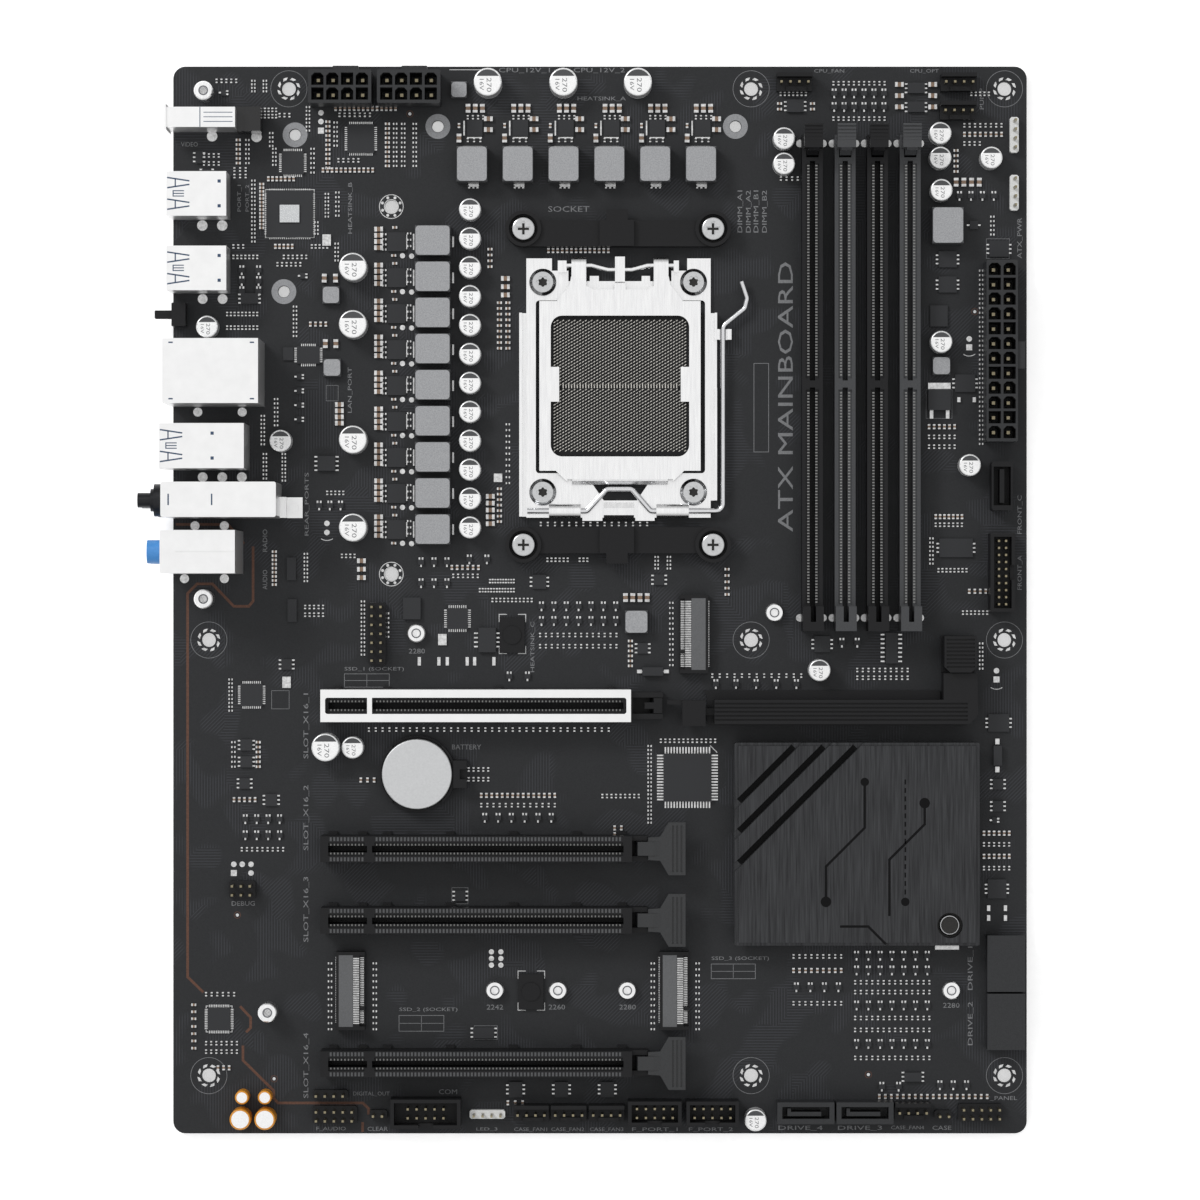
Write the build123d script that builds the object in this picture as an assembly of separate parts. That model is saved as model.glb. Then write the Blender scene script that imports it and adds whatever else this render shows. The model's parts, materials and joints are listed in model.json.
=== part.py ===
"""Full-size desktop mainboard with its socket, slots, ports, headers and soldered parts.

Millimetres, +Z up from the component side. Places are given as a board drawing gives them:
u is the distance in from the rear (port) edge and v the distance down from the top edge.
The origin is the datum mounting hole at the board's underside, and +X points away from the ports.
"""

import math
import os

from build123d import *

# Driving dimensions
BOARD_WIDTH = 243.84
BOARD_LENGTH = 304.8
BOARD_THICKNESS = 1.6
BOARD_CORNER_RADIUS = 3.5
DATUM_U = 10.16
DATUM_V = 288.29
TOP = BOARD_THICKNESS

CASE_HOLE_RADIUS = 1.98
CASE_HOLES = [
    (33.02, 6.35), (165.1, 6.35), (237.49, 6.35),
    (10.16, 163.83), (165.1, 163.83), (237.49, 163.83),
    (10.16, 288.29), (165.1, 288.29), (237.49, 288.29),
]
HEATSINK_HOLE_RADIUS = 1.64
HEATSINK_HOLES = [(34.8, 19.5), (31.6, 64.3), (75.6, 17.1), (160.6, 17.1)]
RINGED_HOLE_RADIUS = 1.86
RINGED_HOLES = [(62.3, 40.0), (62.3, 145.0)]

SOCKET_U = 127.1
SOCKET_V = 91.7
COOLER_PITCH_U = 54.0
COOLER_PITCH_V = 90.0
FRAME_SCREW_PITCH_U = 43.0
FRAME_SCREW_PITCH_V = 59.9
CONTACT_FIELD = 40.4
HINGE_V = 57.0
HINGE_Z = 4.9
HINGE_WIRE_RADIUS = 0.75
LEVER_V = 127.0
LEVER_Z = 4.6
LEVER_RADIUS = 0.77
RUNNING_CLEARANCE = 0.05

MEMORY_SLOT_U = [182.3, 191.6, 200.8, 210.1]
MEMORY_SLOT_WIDTH = 5.9
MEMORY_PIVOT_V = 24.4
MEMORY_PIVOT_Z = 4.6
PIVOT_RADIUS = 0.9

SLOT_U_LOW = 42.65
SLOT_U_HIGH = 131.0
SLOT_WIDTH = 7.3
SLOT_HEIGHT = 11.25
GRAPHICS_SLOT_V = 182.4
PLAIN_SLOT_V = {2: 223.04, 3: 243.36, 4: 284.0}
SLOT_PIVOT_U = 133.6
SLOT_PIVOT_Z = 5.6
GRAPHICS_PIVOT_U = 137.6
GRAPHICS_PIVOT_Z = 3.9

BUTTON_TRAVEL = 3.0
PLUNGER_TRAVEL = 0.5

HEATSINK_U = 194.9
HEATSINK_V = 221.7
CELL_U = 69.8
CELL_V = 202.0
CELL_RADIUS = 10.0

MIDDLE = (Align.CENTER, Align.CENTER, Align.MIN)


# Shapes placed by u and v
def place(u, v, z=0.0):
    return Location((u - DATUM_U, DATUM_V - v, z))


def span(u_low, u_high, v_low, v_high, z_low, z_high):
    """A box between its edges."""
    box = Box(u_high - u_low, v_high - v_low, z_high - z_low, align=MIDDLE)
    return place((u_low + u_high) / 2, (v_low + v_high) / 2, z_low) * box


def block(u, v, size_u, size_v, z_low, z_high):
    """A box about its centre."""
    return place(u, v, z_low) * Box(size_u, size_v, z_high - z_low, align=MIDDLE)


def rod(u, v, radius, z_low, z_high):
    """An upright cylinder."""
    return place(u, v, z_low) * Cylinder(radius, z_high - z_low, align=MIDDLE)


def bar_u(u_low, u_high, v, z, radius):
    """A cylinder that lies along u."""
    centre = place((u_low + u_high) / 2, v, z)
    return centre * Rot(0, 90, 0) * Cylinder(radius, u_high - u_low)


def bar_v(v_low, v_high, u, z, radius):
    """A cylinder that lies along v."""
    centre = place(u, (v_low + v_high) / 2, z)
    return centre * Rot(90, 0, 0) * Cylinder(radius, v_high - v_low)


def slab(points, z_low, z_high):
    """A plate with the outline of (u, v) points."""
    corners = [(u - DATUM_U, DATUM_V - v, z_low) for u, v in points]
    face = Face(Wire.make_polygon(corners, close=True))
    return Solid.extrude(face, Vector(0, 0, z_high - z_low))


def across_u(points, u_low, u_high):
    """A bar along u whose section is the outline of (v, z) points."""
    corners = [(u_low - DATUM_U, DATUM_V - v, z) for v, z in points]
    face = Face(Wire.make_polygon(corners, close=True))
    return Solid.extrude(face, Vector(u_high - u_low, 0, 0))


def across_v(points, v_low, v_high):
    """A bar along v whose section is the outline of (u, z) points."""
    corners = [(u - DATUM_U, DATUM_V - v_low, z) for u, z in points]
    face = Face(Wire.make_polygon(corners, close=True))
    return Solid.extrude(face, Vector(0, v_low - v_high, 0))


def soften(shape, size, axis=Axis.Z):
    """Round the edges that run along one axis."""
    return fillet(shape.edges().filter_by(axis), size)


def grid(count_u, count_v, pitch):
    """Offsets of a centred grid of places."""
    columns = [(i - (count_u - 1) / 2) * pitch for i in range(count_u)]
    rows = [(j - (count_v - 1) / 2) * pitch for j in range(count_v)]
    return [(du, dv) for du in columns for dv in rows]


def corners_of(u, v, pitch_u, pitch_v):
    """The four corners of a rectangle about (u, v)."""
    return [(u + a * pitch_u / 2, v + b * pitch_v / 2) for a in (-1, 1) for b in (-1, 1)]


def write(name, *solids):
    """Write one sub-part, as a group where it is several solids."""
    pieces = []
    for shape in solids:
        pieces += shape.solids()
    shape = pieces[0] if len(pieces) == 1 else Compound(children=pieces)
    export_step(shape, f"parts/{name}.step")


COOLER_SCREWS = corners_of(SOCKET_U, SOCKET_V, COOLER_PITCH_U, COOLER_PITCH_V)
FRAME_SCREWS = corners_of(SOCKET_U, SOCKET_V, FRAME_SCREW_PITCH_U, FRAME_SCREW_PITCH_V)
COOLER_POST_RADIUS = 2.6
FRAME_POST_RADIUS = 2.1
POST_HOLE_RADIUS = 1.5
SCREW_SHANK_RADIUS = 1.45
POST_GAP = 0.1


# Board and the plate under the socket
def circuit_board():
    board = span(0, BOARD_WIDTH, 0, BOARD_LENGTH, 0, BOARD_THICKNESS)
    board = soften(board, BOARD_CORNER_RADIUS)
    holes = [
        (CASE_HOLES, CASE_HOLE_RADIUS), (HEATSINK_HOLES, HEATSINK_HOLE_RADIUS),
        (RINGED_HOLES, RINGED_HOLE_RADIUS), (COOLER_SCREWS, COOLER_POST_RADIUS + POST_GAP),
        (FRAME_SCREWS, FRAME_POST_RADIUS + POST_GAP),
    ]
    for places, radius in holes:
        for u, v in places:
            board -= rod(u, v, radius, -1, BOARD_THICKNESS + 1)
    return board


BACKPLATE_THICKNESS = 2.0


def socket_backplate():
    plate = block(SOCKET_U, SOCKET_V, 66, 102, -BACKPLATE_THICKNESS, 0)
    plate = soften(plate, 6)
    plate -= block(SOCKET_U, SOCKET_V, 30, 36, -3, 1)
    for side in (-1, 1):
        plate -= block(SOCKET_U + side * 33, SOCKET_V, 12, 52, -3, 1)
    for places, radius in ((COOLER_SCREWS, COOLER_POST_RADIUS), (FRAME_SCREWS, FRAME_POST_RADIUS)):
        for u, v in places:
            plate += rod(u, v, radius, -BACKPLATE_THICKNESS, TOP)
            plate -= rod(u, v, POST_HOLE_RADIUS, -3, TOP + 1)
    return plate


# Processor socket
BODY_U = (105.2, 149.9)
BODY_V = (68.6, 114.4)
BODY_TOP = 5.4
FIELD_Z = 3.8
PLATE_CENTRE_U = 127.6
PLATE_Z = 5.9
PLATE_THICKNESS = 1.2
FRAME_TOP = TOP + 1.4


def socket_body():
    body = span(*BODY_U, *BODY_V, TOP, BODY_TOP)
    body = soften(body, 1.0)
    field = block(PLATE_CENTRE_U, 91.5, CONTACT_FIELD, CONTACT_FIELD + 0.4, FIELD_Z, BODY_TOP + 1)
    field = soften(field, 2.6)
    for side in (-1, 1):
        field -= block(PLATE_CENTRE_U + side * 20.6, 91.0, 5.4, 9.6, FIELD_Z - 1, BODY_TOP + 2)
    return body - field


def frame_sleeve(u_low, u_high):
    """A tab rolled over the lever's straight run."""
    tube = bar_u(u_low, u_high, LEVER_V, LEVER_Z, 2.0)
    foot = span(u_low, u_high, LEVER_V - 2, LEVER_V + 2, TOP, LEVER_Z)
    bore = bar_u(u_low - 1, u_high + 1, LEVER_V, LEVER_Z, LEVER_RADIUS + RUNNING_CLEARANCE)
    return tube + foot - bore


def hinge_wire():
    """The sprung wire that carries the load plate, pulled down at its middle."""
    route = [
        (110.2, HINGE_V), (119.6, HINGE_V), (124.2, HINGE_V + 1.2),
        (131.0, HINGE_V + 1.2), (135.6, HINGE_V), (144.2, HINGE_V),
    ]
    points = [(u - DATUM_U, DATUM_V - v, HINGE_Z) for u, v in route]
    path = FilletPolyline(*points, radius=1.5)
    start = Plane(origin=path @ 0, z_dir=path % 0)
    return sweep(start * Circle(HINGE_WIRE_RADIUS), path=path)


def socket_frame():
    outline = [
        (100.9, 54.9), (108.2, 54.9), (108.2, 58.4), (112.9, 58.4), (112.9, 61.4),
        (119.0, 61.4), (119.0, 59.9), (121.6, 59.9), (121.6, 61.4), (133.8, 61.4),
        (133.8, 59.9), (136.2, 59.9), (136.2, 61.4), (142.3, 61.4), (142.3, 58.4),
        (146.8, 58.4), (146.8, 54.9), (153.5, 54.9), (153.5, 128.9), (100.9, 128.9),
    ]
    frame = slab(outline, TOP, FRAME_TOP)
    frame -= soften(span(103.6, 151.9, 66.9, 116.2, 0, 4), 1.0)
    opening = [(118.6, 117.6), (136.8, 117.6), (132.4, 124.0), (123.0, 124.0)]
    frame -= slab(opening, 0, FRAME_TOP + 1)
    frame += span(98.9, 99.7, 70.5, 128.6, TOP, 4.9)
    frame += span(154.6, 155.3, 70.5, 124.0, TOP, 4.9)
    frame += span(99.5, 101.2, 70.5, 128.6, TOP, TOP + 0.8)
    frame += span(153.2, 154.8, 70.5, 124.0, TOP, TOP + 0.8)
    frame -= span(154.2, 156, 76.0, 92.0, TOP + 1, 6)
    # Cradle beside the lever's arm
    frame += span(154.6, 159.4, 75.2, 78.2, TOP, 3.6)
    for low, high in ((154.6, 155.9), (158.2, 159.4)):
        frame += span(low, high, 75.2, 78.2, TOP, 5.2)
    frame += frame_sleeve(107.4, 116.4)
    frame += frame_sleeve(138.0, 147.2)
    tab = across_u([(124.4, FRAME_TOP - 0.6), (124.8, 4.4), (126.2, 5.0), (128.2, 4.6),
                    (129.6, 3.0), (129.6, TOP), (124.4, TOP)], 123.0, 131.6)
    frame += tab
    for low, high in ((116.9, 122.6), (132.0, 137.5)):
        frame += span(low, high, 127.6, 129.8, TOP, FRAME_TOP)
    # Lugs and strap that hold the hinge wire
    for low, high in ((109.9, 112.4), (142.9, 144.4)):
        frame += span(low, high, HINGE_V - 1.3, 59.0, TOP, 5.9)
    frame += span(126.2, 129.0, 54.6, 61.8, TOP, 6.3)
    frame += hinge_wire()
    for u, v in FRAME_SCREWS:
        frame -= rod(u, v, SCREW_SHANK_RADIUS + 0.15, 0, FRAME_TOP + 2)
    return frame


def load_plate():
    middle = PLATE_CENTRE_U
    half = [
        (7.7, 64.0), (9.6, 63.0), (9.6, 60.3), (13.9, 60.3), (14.3, 62.6), (17.9, 67.3),
        (22.95, 67.3), (22.95, 115.6), (18.3, 115.6), (16.2, 117.6), (14.2, 119.4),
    ]
    left = [(middle - du, v) for du, v in half]
    right = [(middle + du, v) for du, v in reversed(half)]
    plate = slab(left + right, PLATE_Z, PLATE_Z + PLATE_THICKNESS)
    # Neck between the curls, notched round the frame's strap
    plate += span(middle - 1.6, middle + 1.6, 62.2, 65.0, PLATE_Z, PLATE_Z + PLATE_THICKNESS)
    window = block(middle, 91.5, 39.4, 40.1, 0, 12)
    window = soften(window, 3.3)
    for side in (-1, 1):
        tab = block(middle + side * 20.2, 91.0, 5.8, 9.9, -1, 13)
        window -= tab
    plate -= window
    # Lower lip folds down towards the lever's crank
    plate -= span(middle - 15, middle + 15, 118.0, 120.5, PLATE_Z - 1, PLATE_Z + 2)
    lip = across_u([(117.0, PLATE_Z + PLATE_THICKNESS), (118.5, 6.6), (119.5, 4.9), (119.5, 3.8),
                    (118.7, 3.8), (118.2, 5.0), (117.0, PLATE_Z)], middle - 13.6, middle + 13.6)
    plate += lip
    curl_radius = HINGE_WIRE_RADIUS + RUNNING_CLEARANCE
    for low, high in ((113.8, 118.0), (137.2, 141.4)):
        curl = bar_u(low, high, HINGE_V, HINGE_Z, 2.3)
        curl += span(low, high, HINGE_V, 61.0, PLATE_Z, HINGE_Z + 2.3)
        curl -= bar_u(low - 1, high + 1, HINGE_V, HINGE_Z, curl_radius)
        curl -= span(low - 1, high + 1, HINGE_V - 0.6, HINGE_V + 0.6, 0, HINGE_Z - 0.9)
        plate += curl
    return plate


def load_lever():
    route = [
        (101.2, LEVER_V), (118.2, LEVER_V), (123.8, 120.8), (131.0, 120.8), (136.4, LEVER_V),
        (157.0, LEVER_V), (157.0, 74.2), (163.2, 69.2), (163.9, 66.4), (162.3, 61.6),
    ]
    bends = [1.2, 1.6, 1.6, 1.2, 2.2, 2.4, 1.2, 1.6]
    points = [(u - DATUM_U, DATUM_V - v, LEVER_Z) for u, v in route]
    path = FilletPolyline(*points, radius=bends)
    start = Plane(origin=path @ 0, z_dir=path % 0)
    return sweep(start * Circle(LEVER_RADIUS), path=path)


def star_recess(u, v, radius, z_low, z_high):
    """Six-lobed driver recess."""
    recess = rod(u, v, radius * 0.72, z_low, z_high)
    for step in range(6):
        angle = math.radians(60 * step)
        lobe_u = u + radius * 0.72 * math.cos(angle)
        lobe_v = v + radius * 0.72 * math.sin(angle)
        recess += rod(lobe_u, lobe_v, radius * 0.28, z_low, z_high)
    return recess


def cross_recess(u, v, radius, z_low, z_high):
    """Cross driver recess."""
    wide = block(u, v, radius * 2, radius * 0.55, z_low, z_high)
    return wide + block(u, v, radius * 0.55, radius * 2, z_low, z_high)


def frame_screw(u, v):
    head = rod(u, v, 3.85, FRAME_TOP, FRAME_TOP + 1.9)
    head = chamfer(head.edges().group_by(Axis.Z)[-1], 0.9)
    head += rod(u, v, SCREW_SHANK_RADIUS, -BACKPLATE_THICKNESS + 0.3, FRAME_TOP)
    return head - star_recess(u, v, 1.9, FRAME_TOP + 0.7, FRAME_TOP + 3)


# Cooler brackets
BRACKET_LOBE_RADIUS = 5.1
BRACKET_SEAT_Z = 5.6


def cooler_bracket(side):
    """side is -1 for the bracket above the socket and 1 for the one below it."""
    screw_v = SOCKET_V + side * COOLER_PITCH_V / 2
    inner_v = screw_v - side * 5.0
    outer_v = screw_v + side * 2.4
    low, high = SOCKET_U - COOLER_PITCH_U / 2, SOCKET_U + COOLER_PITCH_U / 2
    body = span(low, high, min(inner_v, outer_v), max(inner_v, outer_v), TOP, 6.6)
    for u in (low, high):
        body += rod(u, screw_v, BRACKET_LOBE_RADIUS, TOP, 7.8)
    hook_end = outer_v + side * 3.0
    body += span(121.8, 131.6, min(inner_v, outer_v), max(inner_v, outer_v), TOP, 8.4)
    body += span(123.7, 129.8, min(outer_v, hook_end), max(outer_v, hook_end), 4.8, 8.4)
    for u in (low, high):
        body -= rod(u, screw_v, 4.1, BRACKET_SEAT_Z, 10)
        body -= rod(u, screw_v, SCREW_SHANK_RADIUS + 0.25, 0, 10)
    return body


def bracket_screw(u, v):
    head = rod(u, v, 3.55, BRACKET_SEAT_Z, BRACKET_SEAT_Z + 2.0)
    head = fillet(head.edges().group_by(Axis.Z)[-1], 0.9)
    head += rod(u, v, SCREW_SHANK_RADIUS, -BACKPLATE_THICKNESS + 0.3, BRACKET_SEAT_Z)
    return head - cross_recess(u, v, 2.0, BRACKET_SEAT_Z + 0.6, 10)


# Memory slots: housing with an end tower, and one hinged latch each
MEMORY_TOP = 9.1
MEMORY_END_V = 161.2
MEMORY_KEY_V = 91.0


def memory_slot(u):
    half = MEMORY_SLOT_WIDTH / 2
    housing = span(u - half, u + half, 20.2, MEMORY_END_V, TOP, MEMORY_TOP)
    housing += span(u - half, u + half, 154.2, MEMORY_END_V, TOP, 15.6)
    groove = span(u - 0.75, u + 0.75, 27.6, 158.6, 3.4, 20)
    groove -= span(u - 2, u + 2, MEMORY_KEY_V - 1.0, MEMORY_KEY_V + 1.0, 0, MEMORY_TOP)
    housing -= groove
    # Shallow ledges on both sides of the groove
    for v_low, v_high in ((28.4, MEMORY_KEY_V - 1.6), (MEMORY_KEY_V + 1.6, 153.6)):
        housing -= span(u - 1.9, u + 1.9, v_low, v_high, MEMORY_TOP - 0.8, 20)
    housing -= span(u - 1.75, u + 1.75, 19.0, 26.6, 2.4, 20)
    pivot_hole = PIVOT_RADIUS + RUNNING_CLEARANCE
    return housing - bar_u(u - 4, u + 4, MEMORY_PIVOT_V, MEMORY_PIVOT_Z, pivot_hole)


def memory_latch(u):
    """Latch that stands between the housing's two ears."""
    profile = [
        (25.9, 3.2), (26.0, 9.6), (24.6, 12.0), (24.4, 15.6), (25.4, 16.4), (25.4, 18.0),
        (24.6, 19.0), (18.0, 19.6), (17.8, 18.6), (21.4, 16.8), (21.8, 9.4), (22.6, 3.2),
    ]
    latch = across_u(profile, u - 1.55, u + 1.55)
    latch += bar_u(u - 2.8, u + 2.8, MEMORY_PIVOT_V, MEMORY_PIVOT_Z, PIVOT_RADIUS)
    latch += across_u([(24.6, 12.4), (24.6, 19.0), (18.0, 19.6), (17.8, 18.6), (21.0, 16.8),
                       (21.4, 12.4)], u - 2.6, u + 2.6)
    for rib in range(5):
        v = 18.5 + rib * 1.0
        latch -= span(u - 3, u + 3, v, v + 0.45, 19.1, 21)
    return latch


# Long expansion slots
def slot_groove(v, z_floor):
    """The card's groove with its key left standing."""
    groove = span(SLOT_U_LOW + 2.2, SLOT_U_HIGH - 2.4, v - 0.95, v + 0.95, z_floor, 30)
    groove -= span(55.9, 57.3, v - 2, v + 2, 0, 29)
    return groove


def graphics_slot():
    v = GRAPHICS_SLOT_V
    housing = span(SLOT_U_LOW + 0.5, SLOT_U_HIGH - 0.7, v - 3.9, v + 3.9, TOP, 12.2)
    housing -= slot_groove(v, 4.2)
    for low, high in ((44.4, 55.4), (57.8, 128.2)):
        housing -= span(low, high, v - 1.9, v + 1.9, 11.4, 30)
    rail = span(SLOT_U_HIGH - 0.7, 139.8, v - 3.8, v + 3.8, TOP, 7.2)
    rail -= span(SLOT_U_HIGH + 0.4, 141, v - 2.3, v + 2.3, 2.4, 20)
    rail += span(SLOT_U_HIGH - 0.7, 139.8, v - 3.8, v - 2.3, 7.2, 9.6)
    rail += span(SLOT_U_HIGH - 0.7, 139.8, v + 2.3, v + 3.8, 7.2, 9.6)
    for low in (46.0, 60.0, 92.0, 124.0):
        rail += span(low, low + 2.0, v - 5.4, v + 5.4, TOP, TOP + 1.2)
    pivot_hole = PIVOT_RADIUS + RUNNING_CLEARANCE
    return housing + rail - bar_v(v - 6, v + 6, GRAPHICS_PIVOT_U, GRAPHICS_PIVOT_Z, pivot_hole)


def graphics_slot_shield():
    v = GRAPHICS_SLOT_V
    wall = 0.35
    low, high = SLOT_U_LOW, SLOT_U_HIGH - 0.3
    shield = span(low, high, v - 4.6, v + 4.6, 2.9, 12.9)
    shield -= span(low + wall, high - wall, v - 4.6 + wall, v + 4.6 - wall, 0, 12.9 - wall)
    window = span(44.0, 129.4, v - 2.3, v + 2.3, 11, 20)
    window = soften(window, 0.7)
    window -= span(55.9, 57.3, v - 4, v + 4, 10, 21)
    shield -= window
    shield -= span(SLOT_U_HIGH - 1.2, SLOT_U_HIGH + 1, v - 3.9, v + 3.9, 0, 10)
    return shield


def graphics_slot_latch():
    """Small locking lever between the rails at the slot's end."""
    v = GRAPHICS_SLOT_V
    lever = across_v([(136.6, 3.0), (138.6, 3.0), (139.6, 9.9), (137.2, 9.9), (136.2, 6.0)],
                     v - 2.15, v + 2.15)
    hook = across_v([(134.6, 8.6), (137.0, 8.6), (137.2, 9.9), (134.6, 9.9)], v - 0.9, v + 0.9)
    pin = bar_v(v - 3.6, v + 3.6, GRAPHICS_PIVOT_U, GRAPHICS_PIVOT_Z, PIVOT_RADIUS)
    return lever + hook + pin


def release_rod():
    """Arm, slider and the long rod that runs under the cover."""
    arm = span(141.0, 146.0, 180.9, 182.1, 6.0, 8.4)
    slider = span(145.3, 151.9, 180.9, 188.2, 4.8, 9.8)
    rod_bar = span(151.0, 222.0, 183.2, 185.2, 5.0, 6.6)
    return arm + slider + rod_bar


COVER_TOP = 11.6
BUTTON_U = 224.1
BUTTON_V = 167.8
CAP_CEILING = 12.4


def release_cover():
    v_low, v_high = 180.7, 187.6
    outline = [(154.4, v_low), (219.4, v_low), (219.4, 173.2), (229.0, 173.2), (229.2, v_high - 2.6),
               (226.8, v_high), (154.4, v_high)]
    cover = slab(outline, 2.4, COVER_TOP)
    for rib in range(5):
        v = v_low + 0.85 + rib * 1.15
        cover -= span(154.0, 226.2, v, v + 0.5, COVER_TOP - 0.6, 20)
    base = slab([(151.2, 178.2), (219.0, 178.2), (219.0, 180.9), (228.8, 180.9), (226.6, 188.2),
                 (153.2, 188.2), (152.4, 187.0), (152.4, 179.6)], TOP, 2.9)
    post_top = CAP_CEILING - BUTTON_TRAVEL - 0.4
    post = block(BUTTON_U, BUTTON_V, 7.0, 8.2, TOP, post_top)
    stand = block(BUTTON_U, BUTTON_V, 9.6, 10.6, TOP, 2.3)
    cover += base + post + stand
    cover += span(220.0, 228.0, 172.0, 174.0, TOP, 2.3)
    cover -= span(150.0, 224.5, 182.8, 185.6, 4.6, 7.0)
    return cover


def release_button():
    cap = block(BUTTON_U, BUTTON_V, 9.2, 10.3, 5.6, 14.0)
    lower = cap.edges().filter_by(Axis.Z).group_by(Axis.Y)[0]
    cap = chamfer(lower, 1.6)
    cap -= block(BUTTON_U, BUTTON_V, 7.6, 8.8, 5, CAP_CEILING)
    for rib in range(8):
        v = BUTTON_V - 4.4 + rib * 1.1
        cap -= span(BUTTON_U - 4.0, BUTTON_U + 4.0, v, v + 0.5, 13.5, 20)
    return cap


def expansion_slot(v):
    housing = span(SLOT_U_LOW, SLOT_U_HIGH, v - SLOT_WIDTH / 2, v + SLOT_WIDTH / 2, TOP + 0.4,
                   TOP + SLOT_HEIGHT)
    housing -= slot_groove(v, 4.2)
    for low, high in ((44.9, 55.2), (58.0, 128.4)):
        housing -= span(low, high, v - 1.9, v + 1.9, TOP + SLOT_HEIGHT - 0.8, 30)
    for low in (44.6, 53.0, 60.0, 78.0, 96.0, 114.0, 127.0):
        housing += span(low, low + 2.4, v - 4.6, v + 4.6, TOP, TOP + 1.4)
    for side in (-1, 1):
        ear = span(SLOT_U_HIGH - 0.5, 135.4, v + side * 2.9 - 0.7, v + side * 2.9 + 0.7, TOP + 0.4, 8.6)
        housing += ear
    housing += span(SLOT_U_HIGH - 0.5, 135.4, v - 3.2, v + 3.2, TOP + 0.4, TOP + 1.2)
    pivot_hole = PIVOT_RADIUS + RUNNING_CLEARANCE
    return housing - bar_v(v - 6, v + 6, SLOT_PIVOT_U, SLOT_PIVOT_Z, pivot_hole)


def expansion_latch(v):
    """Paddle that tips about a pin at the slot's end."""
    stem = across_v([(132.0, 4.2), (134.8, 4.2), (136.6, 7.4), (144.6, 7.8), (144.6, 9.4),
                     (137.0, 10.8), (132.6, 10.8), (132.0, 9.0)], v - 1.95, v + 1.95)
    paddle = slab([(135.6, v - 3.2), (139.0, v - 3.4), (141.4, v - 7.5), (146.2, v - 7.5),
                   (146.2, v + 7.5), (141.4, v + 7.5), (139.0, v + 3.4), (135.6, v + 3.2)], 8.8, 10.4)
    latch = stem + paddle + bar_v(v - 3.5, v + 3.5, SLOT_PIVOT_U, SLOT_PIVOT_Z, PIVOT_RADIUS)
    for rib in range(3):
        u = 142.4 + rib * 1.2
        latch -= span(u, u + 0.5, v - 6.6, v + 6.6, 10.0, 20)
    return latch


# Chipset and its heatsink
PACKAGE_TOP = TOP + 2.0
PAD_TOP = PACKAGE_TOP + 0.6
HEATSINK_TOP = 12.0
HEATSINK_SCREW = (221.2, 244.7)


def chipset_heatsink():
    body = block(HEATSINK_U, HEATSINK_V, 69.6, 57.6, PAD_TOP + 1.2, HEATSINK_TOP - 1.2)
    body = soften(body, 0.6)
    body += block(HEATSINK_U, HEATSINK_V, 26, 26, PAD_TOP, PAD_TOP + 2)
    body += block(HEATSINK_U, HEATSINK_V, 67.4, 55.8, 8, HEATSINK_TOP)
    # Three grooves run at 45 degrees over the corner nearest the socket
    for offset in (15.9, 24.4, 33.4):
        groove = Box(120, 1.85, 10, align=MIDDLE)
        corner = place(HEATSINK_U - 33.7 + offset / 2, HEATSINK_V - 27.9 + offset / 2)
        body -= corner * Location((0, 0, HEATSINK_TOP - 2.2)) * Rot(0, 0, 45) * groove
    body -= rod(*HEATSINK_SCREW, 3.6, HEATSINK_TOP - 3.0, 30)
    body -= rod(*HEATSINK_SCREW, 1.7, 0, 30)
    opposite = (2 * HEATSINK_U - HEATSINK_SCREW[0], 2 * HEATSINK_V - HEATSINK_SCREW[1])
    body += rod(*opposite, 2.6, TOP, 8)
    leg = rod(*HEATSINK_SCREW, 2.9, TOP, 8) - rod(*HEATSINK_SCREW, 1.7, 0, 30)
    return body + leg


def heatsink_screw():
    u, v = HEATSINK_SCREW
    seat = HEATSINK_TOP - 3.0
    head = rod(u, v, 3.0, seat, seat + 1.6)
    head = fillet(head.edges().group_by(Axis.Z)[-1], 0.5)
    head += rod(u, v, 1.5, TOP + 0.1, seat)
    return head - cross_recess(u, v, 1.6, seat + 0.7, 20)


# Rear ports
PORT_WALL = 0.4


def port_mouth(u_front, depth, v, z_low):
    """The hollow of one flat port, and the tongue that is left in it."""
    mouth = span(u_front - 1, u_front + depth, v - 5.9, v + 5.9, z_low, z_low + 4.9)
    blade = span(u_front + 1.2, u_front + depth + 0.5, v - 5.4, v + 5.4, z_low + 2.7, z_low + 4.4)
    return mouth, blade


def port_stack(u_front, u_back, v, width, z_high, floors):
    """A shell with flat ports one above another, and their tongues."""
    shell = span(u_front, u_back, v - width / 2, v + width / 2, TOP, z_high)
    tongues = []
    for floor in floors:
        mouth, blade = port_mouth(u_front, 9.5, v, floor)
        shell -= mouth
        tongues.append(blade - shell)
    return [shell] + tongues


def display_port():
    u_front, v = -1.2, 15.9
    shell = span(-1.2, 18.8, v - 2.85, v + 2.85, TOP, 17.4)
    shell += span(-1.2, -0.6, v - 3.6, v + 3.6, 1.8, 17.9)
    shell -= span(-2, 8.0, v - 2.3, v + 2.3, 2.4, 16.6)
    tongue = span(u_front + 1.5, 8.0, v - 0.6, v + 0.8, 3.6, 15.4)
    rear = span(18.8, 25.6, v - 3.4, v + 3.4, TOP, 11.6)
    return [shell, tongue, rear]


def network_port():
    v, z_high = 88.1, 28.8
    shell = span(-0.8, 26.1, v - 9.1, v + 9.1, TOP, z_high)
    shell -= span(-2, 12.6, v - 6.0, v + 6.0, 17.6, 24.6)
    shell -= span(-2, 12.6, v - 3.2, v + 3.2, 24.4, 27.2)
    tongues = []
    for floor in (2.5, 10.0):
        mouth, blade = port_mouth(-0.8, 9.5, v, floor)
        shell -= mouth
        tongues.append(blade - shell)
    return [shell] + tongues


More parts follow.
